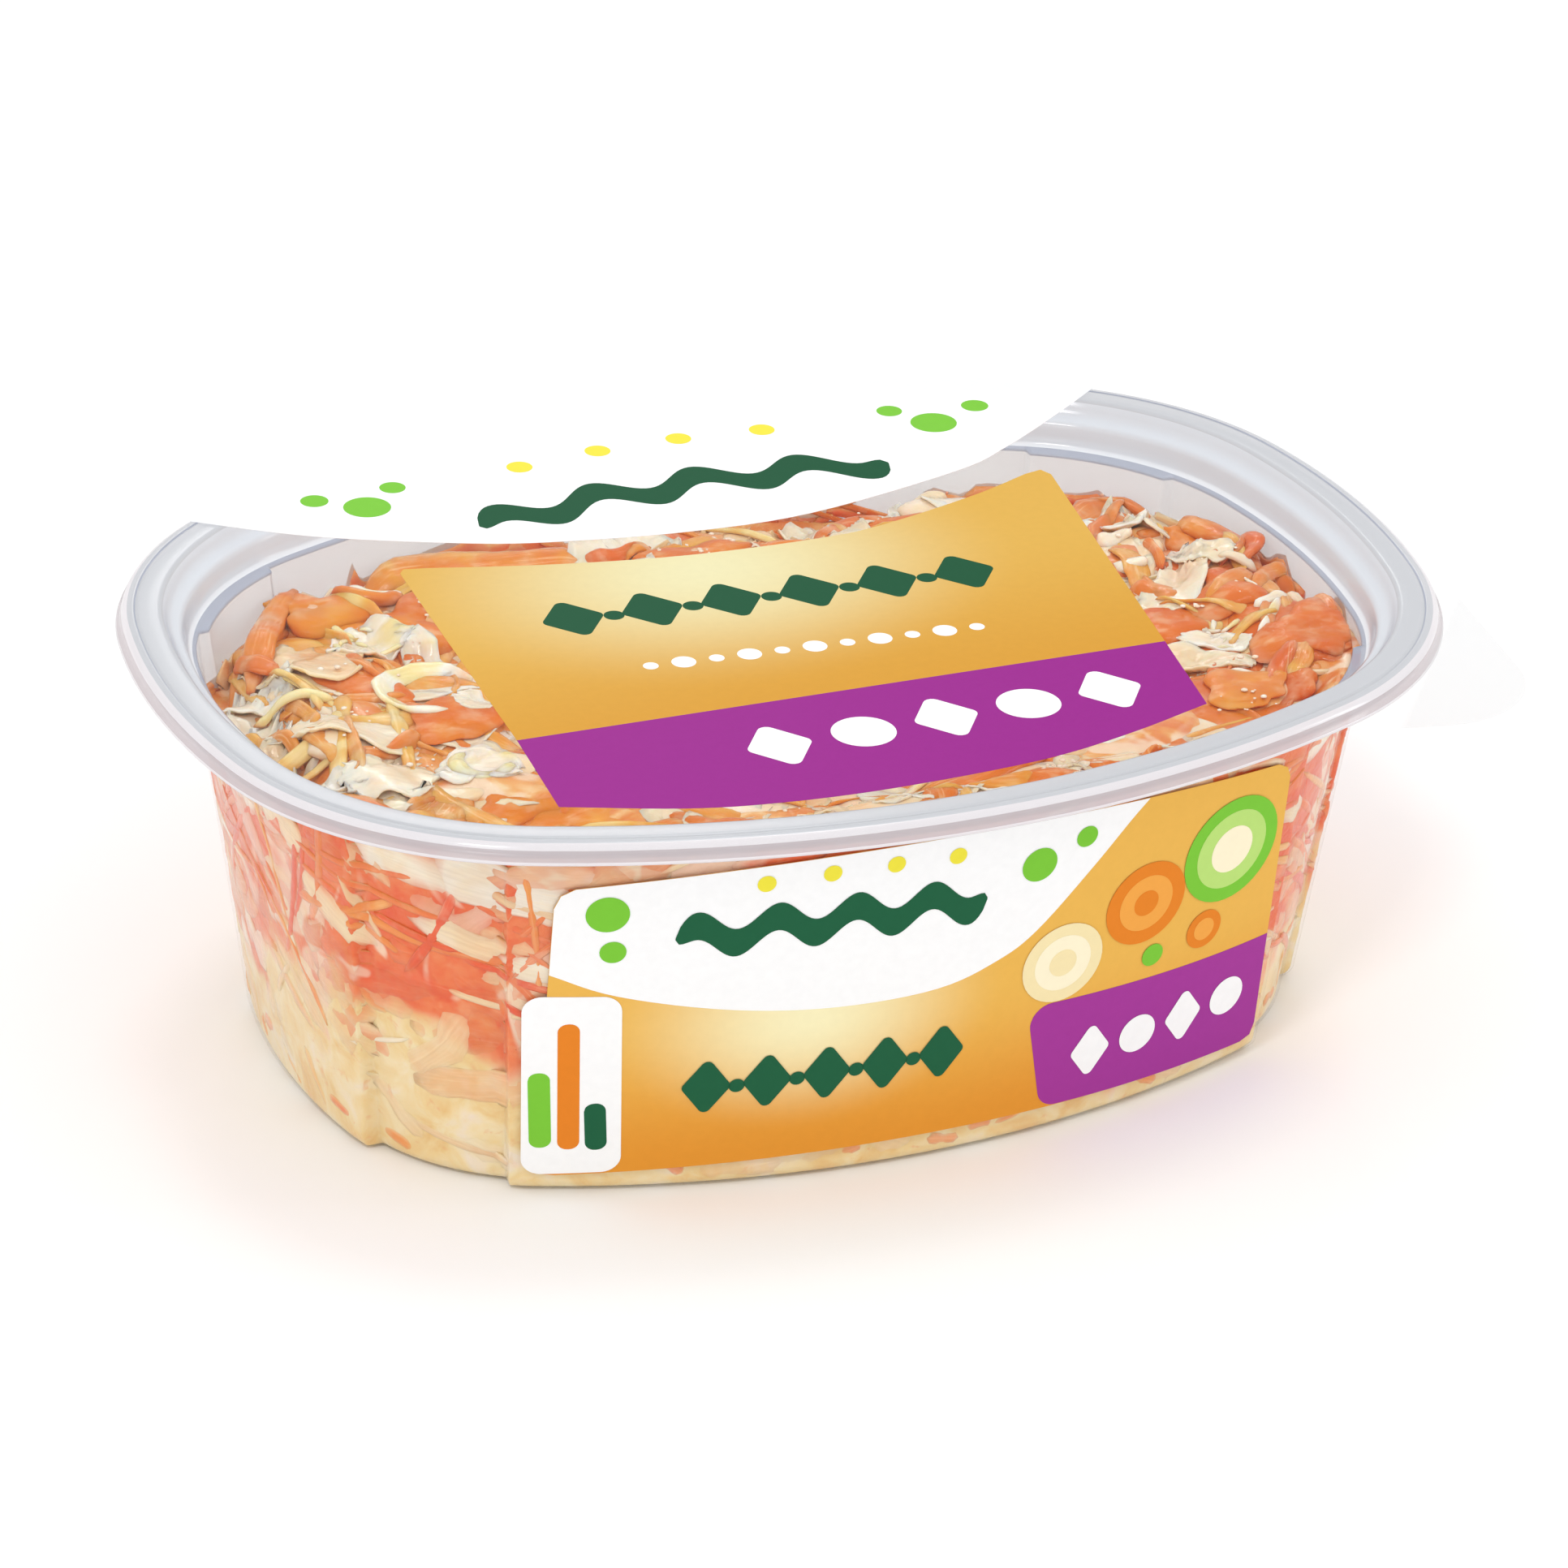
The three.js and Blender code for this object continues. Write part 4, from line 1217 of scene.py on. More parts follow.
    for x, y, ln, w, wave, curl, tint in ((-37.7, 9.2, 14, 7, 0.6, 0.12, 0.75), (-38.9, 1.1, 14, 6, 0.8, 0.24, 0.5), (-49.1, 15.6, 13, 9, 0.6, 0.02, 0.3), (-58, 13, 10, 7, 0.5, 0.1, 0.7),
                                          (-49, -1.4, 14, 9, 0.5, 0.04, 0.45), (-50.7, -13.8, 12, 9, 0.6, 0.08, 0.6), (-41, -14.8, 12, 11, 1.1, 0.05, 0.4), (50, 4, 14, 7, 0.6, 0.08, 0.5),
                                          (45, -16.5, 11, 5, 0.8, 0.15, 0.7), (32, -29.5, 13, 9, 0.5, 0.06, 0.55), (47, 11, 9, 7, 0.7, 0.1, 0.4), (-60, 3, 9, 7, 0.6, 0.1, 0.7), (-19.7, -33, 12, 8, 0.6, 0.1, 0.5),
                                          (1.4, -37.5, 12, 8, 0.6, 0.1, 0.35), (12, -36.5, 11, 7, 0.6, 0.12, 0.6), (23, -33.5, 12, 8, 0.6, 0.05, 0.45), (-8, 33, 13, 8, 0.5, 0.08, 0.55), (16.5, 31, 12, 8, 0.5, 0.08, 0.5),
                                          (35, 34, 13, 8, 0.6, 0.1, 0.7), (-4, 34, 12, 7, 0.5, 0.06, 0.7), (23, 35.5, 11, 7, 0.5, 0.06, 0.6), (40, 36.5, 12, 7, 0.5, 0.06, 0.7),
                                          (-21, -30.5, 12, 8, 0.5, 0.05, 0.6), (-8, -32, 13, 8, 0.5, 0.05, 0.5), (4, -33.5, 12, 8, 0.5, 0.05, 0.65), (15, -34, 12, 8, 0.5, 0.05, 0.5), (56, 19, 10, 6, 0.6, 0.1, 0.55), (-56, -8, 10, 7, 0.6, 0.1, 0.5), (61, -7, 7, 5, 0.6, 0.1, 0.4)):
        top_leaf(hm, leaves, ln * 1.25, w * 1.3, 0.7, tint, wave, curl, at=(x, y), nu=24, nv=13, lift=0.1)
    strand(24, 0.9, 1.4, 0.8)
    for x, y, a, ln, w, tint in ((-51.6, 12, -1.12, 14, 2.0, 0.85), (-52.5, -1.8, -1.9, 19, 2.0, 0.75), (-44, 2, -1.73, 36, 2.3, 0.85), (-51, -8, 0.52, 13, 1.6, 0.4), (54.5, 26, -0.98, 10, 1.7, 0.5),
                                 (-57, 20, -1.9, 14, 1.8, 0.6), (44, -8, 0.9, 16, 1.6, 0.7), (57, -10, 2.2, 14, 1.5, 0.8), (38, -31, 0.3, 16, 1.7, 0.8), (-30, -31, -0.3, 18, 1.8, 0.8)):
        top_strand(hm, carrots, ln, w, w * 0.45, 0.035, tint, lift=0.5, at=(x, y), ang=a, bury=0.6)
    for k in range(16):
        x, y = rng.uniform(40, 60), rng.uniform(-24, 20)
        top_strand(hm, carrots if k % 2 else cabbage, rng.uniform(6, 15), rng.uniform(0.7, 1.3), 0.5, 0.14, 0.95 if k % 2 else 0.6, lift=0.2, bury=0.7, at=(x, y))
    for _ in range(14):
        top_strand(hm, cabbage, rng.uniform(6, 13), rng.uniform(1.6, 2.6), rng.uniform(0.7, 1.1), 0.14, tint_cabbage(), lift=rng.uniform(0, 0.6), section=SEC_BAND, rough=0.25, n=16)
    # short orange scraps and thin pieces over the joints
    for _ in range(60):
        top_strand(hm, bands, rng.uniform(5, 11), rng.uniform(1.8, 3.4), rng.uniform(0.5, 0.9), 0.2, tint_carrot(), lift=rng.uniform(0, 0.4), section=SEC_BAND, rough=0.7, n=16, bury=0.8)
    for x, y, a, ln, w, tint in ((-45, 20, -1.3, 10, 2.6, 0.5), (-53, 6, -1.0, 9, 2.4, 0.4), (-44, -3, -1.2, 11, 2.6, 0.45), (-47, -19, 0.2, 12, 2.8, 0.4), (-36, -8, -1.3, 10, 2.4, 0.45), (-55, -3, -1.5, 9, 2.2, 0.5),
                                 (46, -20, 0.5, 10, 2.6, 0.3), (50, -8, -0.6, 11, 2.6, 0.35), (55, 0, 1.0, 9, 2.2, 0.4), (48, 20, 1.2, 12, 2.6, 0.4), (52, 24, 0.8, 9, 2.0, 0.45), (43, 10, 0.4, 9, 2.2, 0.5)):
        top_strand(hm, bands, ln, w, w * 0.35, 0.12, tint, lift=0.3, section=SEC_BAND, rough=0.6, n=18, bury=0.8, at=(x, y), ang=a)
    # the right end: orange lumps with pale pieces between them, at their own places
    keep = rng.bit_generator.state
    RAISE[0] = 0.12
    mound(hm, lumps, 54.5, 14.4, 4.0, 3.4, 2.0, -0.7, 0.5, rough=1.4, dense=True)
    top_strand(hm, bands, 14, 2.6, 1.2, 0.05, 0.5, lift=0.6, n=20, section=SEC_BAND, rough=0.6, bury=0.9, at=(58.6, 12.5), ang=-1.2)
    mound(hm, lumps, 53.0, -3.6, 4.4, 5.0, 2.3, -0.4, 0.3, rough=1.5, dense=True)
    mound(hm, lumps, 44.3, -7.4, 3.0, 3.4, 1.8, -0.4, 0.34, rough=1.3, dense=True)
    mound(hm, lumps, 56.0, -18.0, 6.2, 6.4, 2.6, -0.3, 0.36, rough=1.6, dense=True)
    mound(hm, lumps, 44.2, -26.2, 4.8, 4.2, 2.0, -0.2, 0.6, rough=1.5, dense=True)
    for k in range(16):
        top_strand(hm, bands, rng.uniform(6, 12), rng.uniform(1.5, 3.2), rng.uniform(0.6, 1.0), 0.12, float(np.clip(rng.normal(0.6, 0.25), 0, 1)), lift=0.15, section=SEC_BAND, rough=0.6, n=16, bury=0.8, at=(rng.uniform(46, 61), rng.uniform(-25, 8)), ang=rng.normal(0.6, 0.7))
    top_leaf(hm, leaves, 17, 6.0, 0.8, 0.62, 0.4, 0.06, at=(50.1, 2.6), turn=-2.25, nu=24, nv=13, lift=0.6)
    top_leaf(hm, leaves, 8, 4.0, 0.7, 0.7, 0.3, 0.04, at=(54.5, 6.4), turn=-0.5, nu=20, nv=11, lift=0.6)
    top_leaf(hm, leaves, 11, 4.4, 0.8, 0.55, 0.5, 0.1, at=(44.3, -16.2), turn=-0.7, nu=22, nv=13, lift=0.8)
    top_leaf(hm, leaves, 8, 3.4, 0.7, 0.75, 0.5, 0.1, at=(46.8, -13.4), turn=-0.6, nu=20, nv=11, lift=0.8)
    top_leaf(hm, leaves, 12, 6.0, 0.7, 0.8, 0.6, 0.06, at=(50.6, 22.6), turn=-1.45, nu=24, nv=13, lift=0.5)
    for x, y, a, ln, w, tint, sp in ((55.3, -9.0, 0.41, 5.5, 1.3, 0.9, 0), (53.7, -13.1, 0.72, 9.5, 1.2, 0.95, 0), (60.6, -8.4, -0.94, 6.5, 2.0, 0.75, 0), (55.4, -20.4, -0.68, 2.4, 1.3, 1.0, 0),
                                     (46.2, -21.8, -0.88, 5.0, 0.7, 1.0, 0), (57.2, 3.4, -0.65, 4.6, 1.2, 0.9, 0), (55.6, -3.4, -1.6, 5.0, 0.9, 1.0, 0), (47.6, 15.6, 0.3, 4.6, 2.4, 0.8, 0), (46.2, 8.4, 0.2, 4.4, 2.2, 0.85, 0),
                                     (53.4, 28.2, -0.83, 9.5, 1.6, 0.5, 1), (49.6, 31.4, -1.87, 7.5, 2.0, 0.42, 1), (59.6, 14.0, -0.88, 8.0, 1.2, 0.7, 1), (62.2, -13.4, 0.9, 7.0, 2.6, 0.5, 1), (50.6, 10.2, -1.5, 6.0, 1.6, 0.5, 1), (46.6, 3.2, -1.6, 7.0, 1.0, 0.6, 1)):
        top_strand(hm, bands if sp else cabbage, ln, w, w * 0.5, 0.05, tint, lift=0.3, n=14, section=SEC_BAND, rough=0.25, bury=0.4, at=(x, y), ang=a)
    # tiny white curls that stand in for wet glints on the sauce: painted highlights
    for k in range(9):
        top_strand(hm, cabbage, rng.uniform(1.6, 3.2), rng.uniform(0.4, 0.7), 0.4, 0.5, 1.0, lift=0.25, n=9, bury=0.2, at=(rng.uniform(46, 51), rng.uniform(-15, -8)))
    # the left end: broad pale leaves on orange, a curled white piece, long yellow and orange shreds over them
    for x, y, rx, ry, rz, a, tint in ((-43.5, 31.0, 6.0, 4.6, 2.0, -0.4, 0.4), (-45.0, 11.0, 5.0, 4.4, 1.2, -0.4, 0.2), (-39.5, -2.5, 5.0, 5.2, 1.2, 0.0, 0.2), (-34.5, 23.0, 4.0, 5.5, 1.6, -0.2, 0.2)):
        mound(hm, lumps, x, y, rx, ry, rz, a, tint, rough=1.3, dense=True)
    for x, y, ln, w, a, tint, wave, curl in ((-49.5, 17.5, 13, 11, -0.36, 0.3, 0.5, 0.02), (-40.8, 21.4, 9.5, 7, 0.22, 0.8, 0.6, 0.08), (-56.5, 15.0, 9, 8, -0.36, 0.75, 0.4, 0.05),
                                             (-51.8, -0.5, 15, 8, -0.5, 0.6, 0.4, 0.05), (-51.2, -13.6, 10, 8, -0.36, 0.6, 0.5, 0.08), (-60.6, 8.0, 9, 4.5, -1.55, 0.6, 0.3, 0.05), (-60.4, -2.5, 10, 4.5, -1.5, 0.55, 0.3, 0.05),
                                             (-36.0, 15.6, 12, 5, -1.65, 0.75, 0.6, 0.1), (-35.4, 2.0, 5, 4.5, -1.0, 0.7, 0.3, 0.1), (-40.5, -13.0, 9, 7, -0.4, 0.8, 0.7, 0.12)):
        top_leaf(hm, leaves, ln, w, 0.9, tint, wave * 0.6, curl * 0.4, at=(x, y), turn=a, nu=24, nv=13, lift=0.38)

    def ring(soup, cx, cy, r, phi0, frac, w, th, tint):
        ln = 2 * math.pi * r * frac
        a = phi0 + HALF_PI
        top_strand(hm, soup, ln, w, th, 0.0, tint, lift=0.5, n=26, section=SEC_BAND, rough=0.5, bury=0.4, at=(cx + r * math.cos(phi0) + math.cos(a) * 0.4 * ln, cy + r * math.sin(phi0) + math.sin(a) * 0.4 * ln), ang=a, arc=1.0 / r)

    ring(leaves, -38.8, 6.2, 5.4, 0.3, 0.72, 2.9, 0.9, 0.85)
    ring(leaves, -40.4, -13.2, 3.0, 1.4, 0.75, 1.5, 0.8, 0.95)
    ring(bands, -35.5, 34.5, 4.2, 2.4, 0.45, 2.4, 1.3, 0.3)
    ring(leaves, -35.0, 33.6, 2.8, 2.2, 0.5, 1.7, 0.9, 0.8)
    for x, y, a, ln, w, th, tint, cv, sp in ((-49.5, 28.5, -2.07, 24, 3.2, 1.6, 0.25, 0.0, 1), (-40.6, 33.4, -1.42, 13, 1.5, 0.8, 0.75, 0.03, 1), (-52.0, 11.4, -1.04, 11, 1.7, 0.9, 0.75, -0.06, 1), (-51.4, 0.2, -1.92, 21, 1.9, 1.0, 0.5, 0.01, 1),
                                             (-45.0, -3.0, -1.67, 23, 1.8, 1.0, 0.75, -0.012, 1), (-49.2, -8.0, 0.19, 11, 2.2, 1.0, 0.35, 0.05, 1), (-55.0, 19.2, -0.97, 6, 2.4, 1.0, 0.1, 0.0, 1), (-58.6, 4.0, -1.4, 13, 1.4, 0.8, 0.5, 0.0, 1),
                                             (-60.4, -6.0, -1.5, 9, 1.5, 0.8, 0.3, 0.0, 1), (-55.0, 8.0, -0.6, 9, 1.3, 0.8, 0.9, 0.04, 0), (-44.0, 15.0, -1.5, 9, 1.6, 0.8, 0.3, 0.02, 1), (-46.5, 6.0, -0.2, 8, 1.5, 0.8, 0.4, 0.03, 1)):
        top_strand(hm, bands if sp else leaves, ln, w, th, 0.0, tint, lift=0.35, n=20, section=SEC_BAND, rough=0.3, bury=0.5, at=(x, y), ang=a, arc=cv)
    # tiny white curls that stand in for wet glints near the white flake: painted highlights
    for k in range(8):
        top_strand(hm, leaves, rng.uniform(1.6, 3.4), rng.uniform(0.4, 0.8), 0.4, 0.4, 1.0, lift=0.25, n=9, bury=0.2, at=(rng.uniform(-45, -35), rng.uniform(14, 25)))
    rng.bit_generator.state = keep
    # beads of sauce in clusters on the wet tops, pale so that they also stand in for wet glints: painted highlights
    for _ in range(95):
        cx, cy = random_inside(2.0)
        for _ in range(rng.integers(3, 9)):
            x, y = cx + rng.normal(0, 1.2), cy + rng.normal(0, 1.2)
            xx, yy = keep_inside(np.array([x]), np.array([y]), np.array([39.0]), 1.0)
            r = 0.12 + 0.3 * rng.random() ** 2
            add_bead(beads, np.array([xx[0], yy[0], float(hm.get(xx, yy)[0]) + r * 0.1]), r, rng.uniform(0, 0.45), 0.45, np.array([0.0, 0.0, 1.0]))
    # specks on the bare wall over the salad
    for _ in range(80):
        phi = rng.uniform(0.05, math.pi - 0.05)
        z = float(contact(np.array([phi]))[0]) + abs(rng.normal(0.3, 1.0))
        r = rng.uniform(0.10, 0.26)
        c = wall_point(np.array([phi]), np.array([min(z, 42.6)]), np.array([WALL_T + 0.05]))[0]
        nrm = np.array([-math.cos(phi), -math.sin(phi), 0.0])
        add_bead(beads, c, r, rng.uniform(0.4, 1.0), 0.4, nrm)
    # shreds that lean up against the bare wall
    for _ in range(26):
        side_strip(carrots, rng.uniform(5, 13), rng.uniform(0.6, 1.1), tint_carrot(), rng.normal(0, 0.3), rng.uniform(36.5, 38), inside=rng.uniform(0.8, 1.2), top_lim=rng.uniform(37.8, 39.3), sink0=0.1, curve=0.05)
    for _ in range(18):
        side_strip(cabbage, rng.uniform(6, 11), rng.uniform(2.6, 4.6), tint_cabbage(), rng.normal(0, 0.25), rng.uniform(36, 37.5), inside=rng.uniform(0.85, 1.2), top_lim=rng.uniform(38.0, 39.4), sink0=0.2, ragged=0.3)
    side_strip(cabbage, 9, 6.0, 0.85, 0.0, 37.6, inside=0.9, top_lim=41.2, sink0=0.0, ragged=0.3, s0=float(np.interp(math.pi * 0.955, np.linspace(0, 2 * math.pi, 2001), _arc)) - 4)
    # pressed against the wall: soft broad pieces, then pale cabbage, then crisp shreds
    side_c, side_l = Soup(), Soup()
    for _ in range(180):
        z = float(np.clip(rng.normal(30, 7.5), 15, 43))
        side_strip(side_c, rng.uniform(7, 20), rng.uniform(3.0, 6.5), float(np.clip(rng.normal(0.3, 0.25), 0, 1)), rng.normal(-0.2, 0.4), z, depth=rng.uniform(0.0, 0.06), curve=0.03, sink0=rng.uniform(0.35, 0.75), ragged=0.35, blunt=3.0)
    for _ in range(150):
        z = 2.0 + 41.0 * rng.random() ** 0.75
        side_strip(side_l, rng.uniform(5, 19), rng.uniform(2.0, 5.5), float(np.clip(rng.normal(0.5, 0.28), 0, 1)), rng.normal(-0.15, 0.45), z, depth=rng.uniform(0.02, 0.12), curve=0.03, sink0=rng.uniform(0.15, 0.65), ragged=0.4, blunt=5.0)
    for _ in range(280):
        z = float(np.clip(rng.normal(28, 7.5), 12, 43))
        a = rng.normal(-0.34, 0.24) if rng.random() < 0.86 else rng.normal(1.1, 0.4)
        side_strip(side_c, rng.uniform(7, 26), rng.uniform(0.7, 1.5), float(np.clip(rng.normal(0.42, 0.28), 0, 1)), a, z, depth=rng.uniform(0.05, 0.2), sink0=rng.uniform(0.0, 0.35), curve=0.03, blunt=14.0, n=14)
    # broad white pieces under the rim at the left of the front
    ss = np.linspace(0, ARC_LEN, 4001)[:-1]
    fx, fy = plan(phi_at(ss), wall_off(38.0) + 1.0)
    for x, z, ln, w, a, tint in ((-55, 40.6, 15, 5.0, -0.1, 0.9), (-46, 40.2, 17, 6.0, -0.16, 1.0), (-38, 38.2, 12, 4.0, -0.3, 0.8), (-62, 39, 10, 4.5, -0.2, 0.7), (-50, 33, 14, 3.4, -0.25, 0.7),
                                 (-42, 30, 12, 3.0, -0.2, 0.85), (-60, 33, 12, 3.6, -0.4, 0.6), (52, 37, 12, 4.5, 0.3, 0.8), (58, 30, 11, 3.6, -0.5, 0.9), (46, 33, 9, 3.2, -0.4, 0.7)):
        near = np.where(fy < 0, np.abs(fx - x), 999.0)
        side_strip(side_l, ln, w, tint, a, z, depth=0.14, curve=0.01, sink0=0.05, ragged=0.3, blunt=6.0, s0=float(ss[int(near.argmin())]) - ln / 2)
    for _ in range(70):
        side_strip(side_l, rng.uniform(6, 18), rng.uniform(0.7, 1.3), float(np.clip(rng.normal(0.6, 0.25), 0, 1)), rng.normal(-0.3, 0.5), rng.uniform(6, 42), depth=rng.uniform(0.05, 0.18), sink0=rng.uniform(0.0, 0.25), blunt=12.0)
    for _ in range(26):
        side_strip(side_l, rng.uniform(4, 10), rng.uniform(2.0, 4.5), rng.uniform(0.7, 1.0), rng.normal(-0.2, 0.5), rng.uniform(3, 15), depth=rng.uniform(0.0, 0.06), sink0=rng.uniform(0.3, 0.6), ragged=0.4)
    for _ in range(30):
        side_strip(side_c, rng.uniform(2.5, 7), rng.uniform(0.9, 1.8), rng.uniform(0.3, 0.9), rng.normal(0, 0.3), rng.uniform(2.0, 5.0), depth=rng.uniform(0.04, 0.12), sink0=rng.uniform(0.1, 0.45), blunt=10.0)
    for _ in range(48):
        side_strip(side_c, rng.uniform(3, 9), rng.uniform(0.8, 1.6), float(np.clip(rng.normal(0.75, 0.2), 0, 1)), rng.normal(-0.25, 0.4), rng.uniform(2.2, 12), depth=rng.uniform(0.04, 0.14), sink0=rng.uniform(0.15, 0.5), blunt=14.0)
    mid.h = np.maximum(mid.h, hm.h - 0.38)
    build_core(mid)
    bands.build("carrot_bands", carrot_mat)
    lumps.build("carrot_lumps", lump_mat)
    carrots.build("carrot_shreds", carrot_mat)
    cabbage.build("cabbage_pieces", cabbage_mat)
    leaves.build("cabbage_leaves", leaf_mat)
    side_c.build("carrot_at_wall", side_mat)
    side_l.build("cabbage_at_wall", sleaf_mat)
    beads.build("sauce_drops_and_painted_glints", bead_material())


# ------------------------------------------------------------------ film and prints
def convex_hull(points):
    p = sorted(map(tuple, points))

    def cross(o, a, b):
        return (a[0] - o[0]) * (b[1] - o[1]) - (a[1] - o[1]) * (b[0] - o[0])

    def half(seq):
        h = []
        for q in seq:
            while len(h) > 1 and cross(h[-2], h[-1], q) <= 1e-9:
                h.pop()
            h.append(q)
        h.pop()
        return h
    return np.array(half(p) + half(p[::-1]))


def reach(poly, ang):
    """Farthest distance from the origin to a closed outline, for each angle."""
    x0, y0 = poly[:, 0], poly[:, 1]
    x1, y1 = np.roll(x0, -1), np.roll(y0, -1)
    out = []
    for t in ang:
        c, s = math.cos(t), math.sin(t)
        u0, u1 = x0 * s - y0 * c, x1 * s - y1 * c
        hit = (u0 * u1 <= 0) & (np.abs(u0 - u1) > 1e-12)
        k = u0[hit] / (u0[hit] - u1[hit])
        r = (x0[hit] + (x1[hit] - x0[hit]) * k) * c + (y0[hit] + (y1[hit] - y0[hit]) * k) * s
        out.append(r.max())
    return np.array(out)


def film_outline(shrink=0.0):
    x, y = plan(np.linspace(0, 2 * math.pi, 721)[:-1], -FILM_OVER + shrink)
    rim = np.stack([x, y], 1)
    a = np.linspace(0, 2 * math.pi, 97)[:-1]
    lobe = np.concatenate([[[0, 0], TAB_FROM, TAB_TO], np.stack([TAB[0] + (TAB[2] - shrink) * np.cos(a), TAB[1] + (TAB[2] - shrink) * np.sin(a)], 1)])
    tab = convex_hull(lobe)
    ang = np.radians(np.concatenate([np.arange(0, 306, 1.0), np.arange(306, 345, 0.3), np.arange(345, 360, 1.0)]))
    r = np.maximum(reach(rim, ang), reach(tab, ang))
    for _ in range(3):
        r2 = r.copy()
        sel = (ang > math.radians(304)) & (ang < math.radians(346))
        r2[sel] = (0.25 * np.roll(r, 1) + 0.5 * r + 0.25 * np.roll(r, -1))[sel]
        r = r2
    return np.stack([r * np.cos(ang), r * np.sin(ang)], 1)


def clear_film_material():
    m, nt, b = new_material("clear_film")
    vec = coords(nt)
    lw = node(nt, "ShaderNodeLayerWeight")
    lw.inputs["Blend"].default_value = 0.3
    a = remap(nt, lw.outputs["Facing"], 0.35, 1.0, 0.014, 0.22)
    xyz = object_z(nt, vec)
    d = np.array(TAB[:2]) / math.hypot(*TAB[:2])
    edge = (CC[0] * d[0] - CC[1] * d[1] + R_CORNER) * MM
    along = math_node(nt, "ADD", math_node(nt, "MULTIPLY", xyz[0], float(d[0])), math_node(nt, "MULTIPLY", xyz[1], float(d[1])))
    a = math_node(nt, "ADD", a, remap(nt, along, edge - 0.0006, edge + 0.0008, 0.0, 0.17), clamp=True)
    b.inputs["Base Color"].default_value = (0.62, 0.64, 0.645, 1)
    b.inputs["Roughness"].default_value = 0.08
    b.inputs["IOR"].default_value = 1.5
    nt.links.new(a, b.inputs["Alpha"])
    bump(nt, noise_tex(nt, vec, 28.0, 3.0), 0.15, 0.0006, b)
    return m


def print_material(name, build, rough=0.32):
    """Printed ink: build(nt, vec, xyz) returns the colour; a trace of grain keeps it from being flat."""
    m, nt, b = new_material(name)
    vec = coords(nt)
    col = build(nt, vec, object_z(nt, vec))
    grain = ramp(nt, noise_tex(nt, vec, 900.0, 2.0), [(0.3, (0.975, 0.975, 0.975, 1)), (0.7, (1.0, 1.0, 1.0, 1))])
    nt.links.new(mix_rgb(nt, 1.0, col, grain, "MULTIPLY") if not isinstance(col, tuple) else mix_rgb(nt, 1.0, grain, col, "MULTIPLY"), b.inputs["Base Color"])
    b.inputs["Roughness"].default_value = rough
    b.inputs["Specular IOR Level"].default_value = 0.02
    bump(nt, noise_tex(nt, vec, 45.0, 2.0), 0.08, 0.0005, b)
    return m


def round_poly(pts, radii, n=8):
    """Polygon with its corners rounded."""
    pts = [np.array(p, float) for p in pts]
    if np.isscalar(radii):
        radii = [radii] * len(pts)
    out = []
    for i, p in enumerate(pts):
        a, b, r = pts[i - 1], pts[(i + 1) % len(pts)], radii[i]
        if r <= 0:
            out.append(p)
            continue
        u, v = (a - p) / np.linalg.norm(a - p), (b - p) / np.linalg.norm(b - p)
        ang = math.acos(np.clip(u @ v, -1, 1))
        d = min(r / math.tan(ang / 2), 0.48 * np.linalg.norm(a - p), 0.48 * np.linalg.norm(b - p))
        r = d * math.tan(ang / 2)
        c = p + (u + v) / np.linalg.norm(u + v) * math.hypot(r, d)
        s, e = p + u * d - c, p + v * d - c
        a0, a1 = math.atan2(s[1], s[0]), math.atan2(e[1], e[0])
        da = (a1 - a0 + math.pi) % (2 * math.pi) - math.pi
        for k in range(n + 1):
            t = a0 + da * k / n
            out.append(c + r * np.array([math.cos(t), math.sin(t)]))
    return np.array(out)


def spline(pts, n=10):
    """Smooth open curve through the points."""
    p = np.array(pts, float)
    q = np.concatenate([[2 * p[0] - p[1]], p, [2 * p[-1] - p[-2]]])
    out = []
    for i in range(1, len(q) - 2):
        for k in range(n):
            t = k / n
            out.append(0.5 * ((2 * q[i]) + (-q[i - 1] + q[i + 1]) * t + (2 * q[i - 1] - 5 * q[i] + 4 * q[i + 1] - q[i + 2]) * t * t
                              + (-q[i - 1] + 3 * q[i] - 3 * q[i + 1] + q[i + 2]) * t ** 3))
    out.append(p[-1])
    return np.array(out)


def disc(cx, cy, rx, ry=None, n=40, turn=0.0):
    t = np.linspace(0, 2 * math.pi, n + 1)[:-1]
    ry = rx if ry is None else ry
    x, y = rx * np.cos(t), ry * np.sin(t)
    return np.stack([cx + x * math.cos(turn) - y * math.sin(turn), cy + x * math.sin(turn) + y * math.cos(turn)], 1)


def bar(x0, y0, x1, y1, w):
    """Rounded bar between two points."""
    a, b = np.array([x0, y0]), np.array([x1, y1])
    d = (b - a) / np.linalg.norm(b - a)
    n = np.array([-d[1], d[0]]) * w / 2
    return round_poly([a + n, a - n, b - n, b + n], w * 0.46, 6)


def diamond(cx, cy, w, h, r=0.9):
    return round_poly([(cx - w / 2, cy), (cx, cy - h / 2), (cx + w / 2, cy), (cx, cy + h / 2)], r, 5)


def ribbon(x0, x1, y, amp, wave, thick, lean=0.0, sag=0.0):
    """Wavy band with soft ends."""
    xs = np.linspace(x0, x1, 90)
    mid_y = y + amp * np.sin((xs - x0) / wave * 2 * math.pi) + lean * (xs - x0) - sag * ((xs - (x0 + x1) / 2) / (x1 - x0) * 2) ** 2
    e = np.minimum(xs - x0, x1 - xs) / (thick * 0.5)
    half = thick / 2 * np.sqrt(np.clip(1 - (1 - np.clip(e, 0, 1)) ** 2, 0.004, 1))
    return np.concatenate([np.stack([xs, mid_y - half], 1), np.stack([xs, mid_y + half], 1)[::-1]])


def lets_light_in(ob):
    """Thin film and clear plastic throw no shadow on the food under them."""
    ob.visible_shadow = False
    ob.visible_diffuse = False


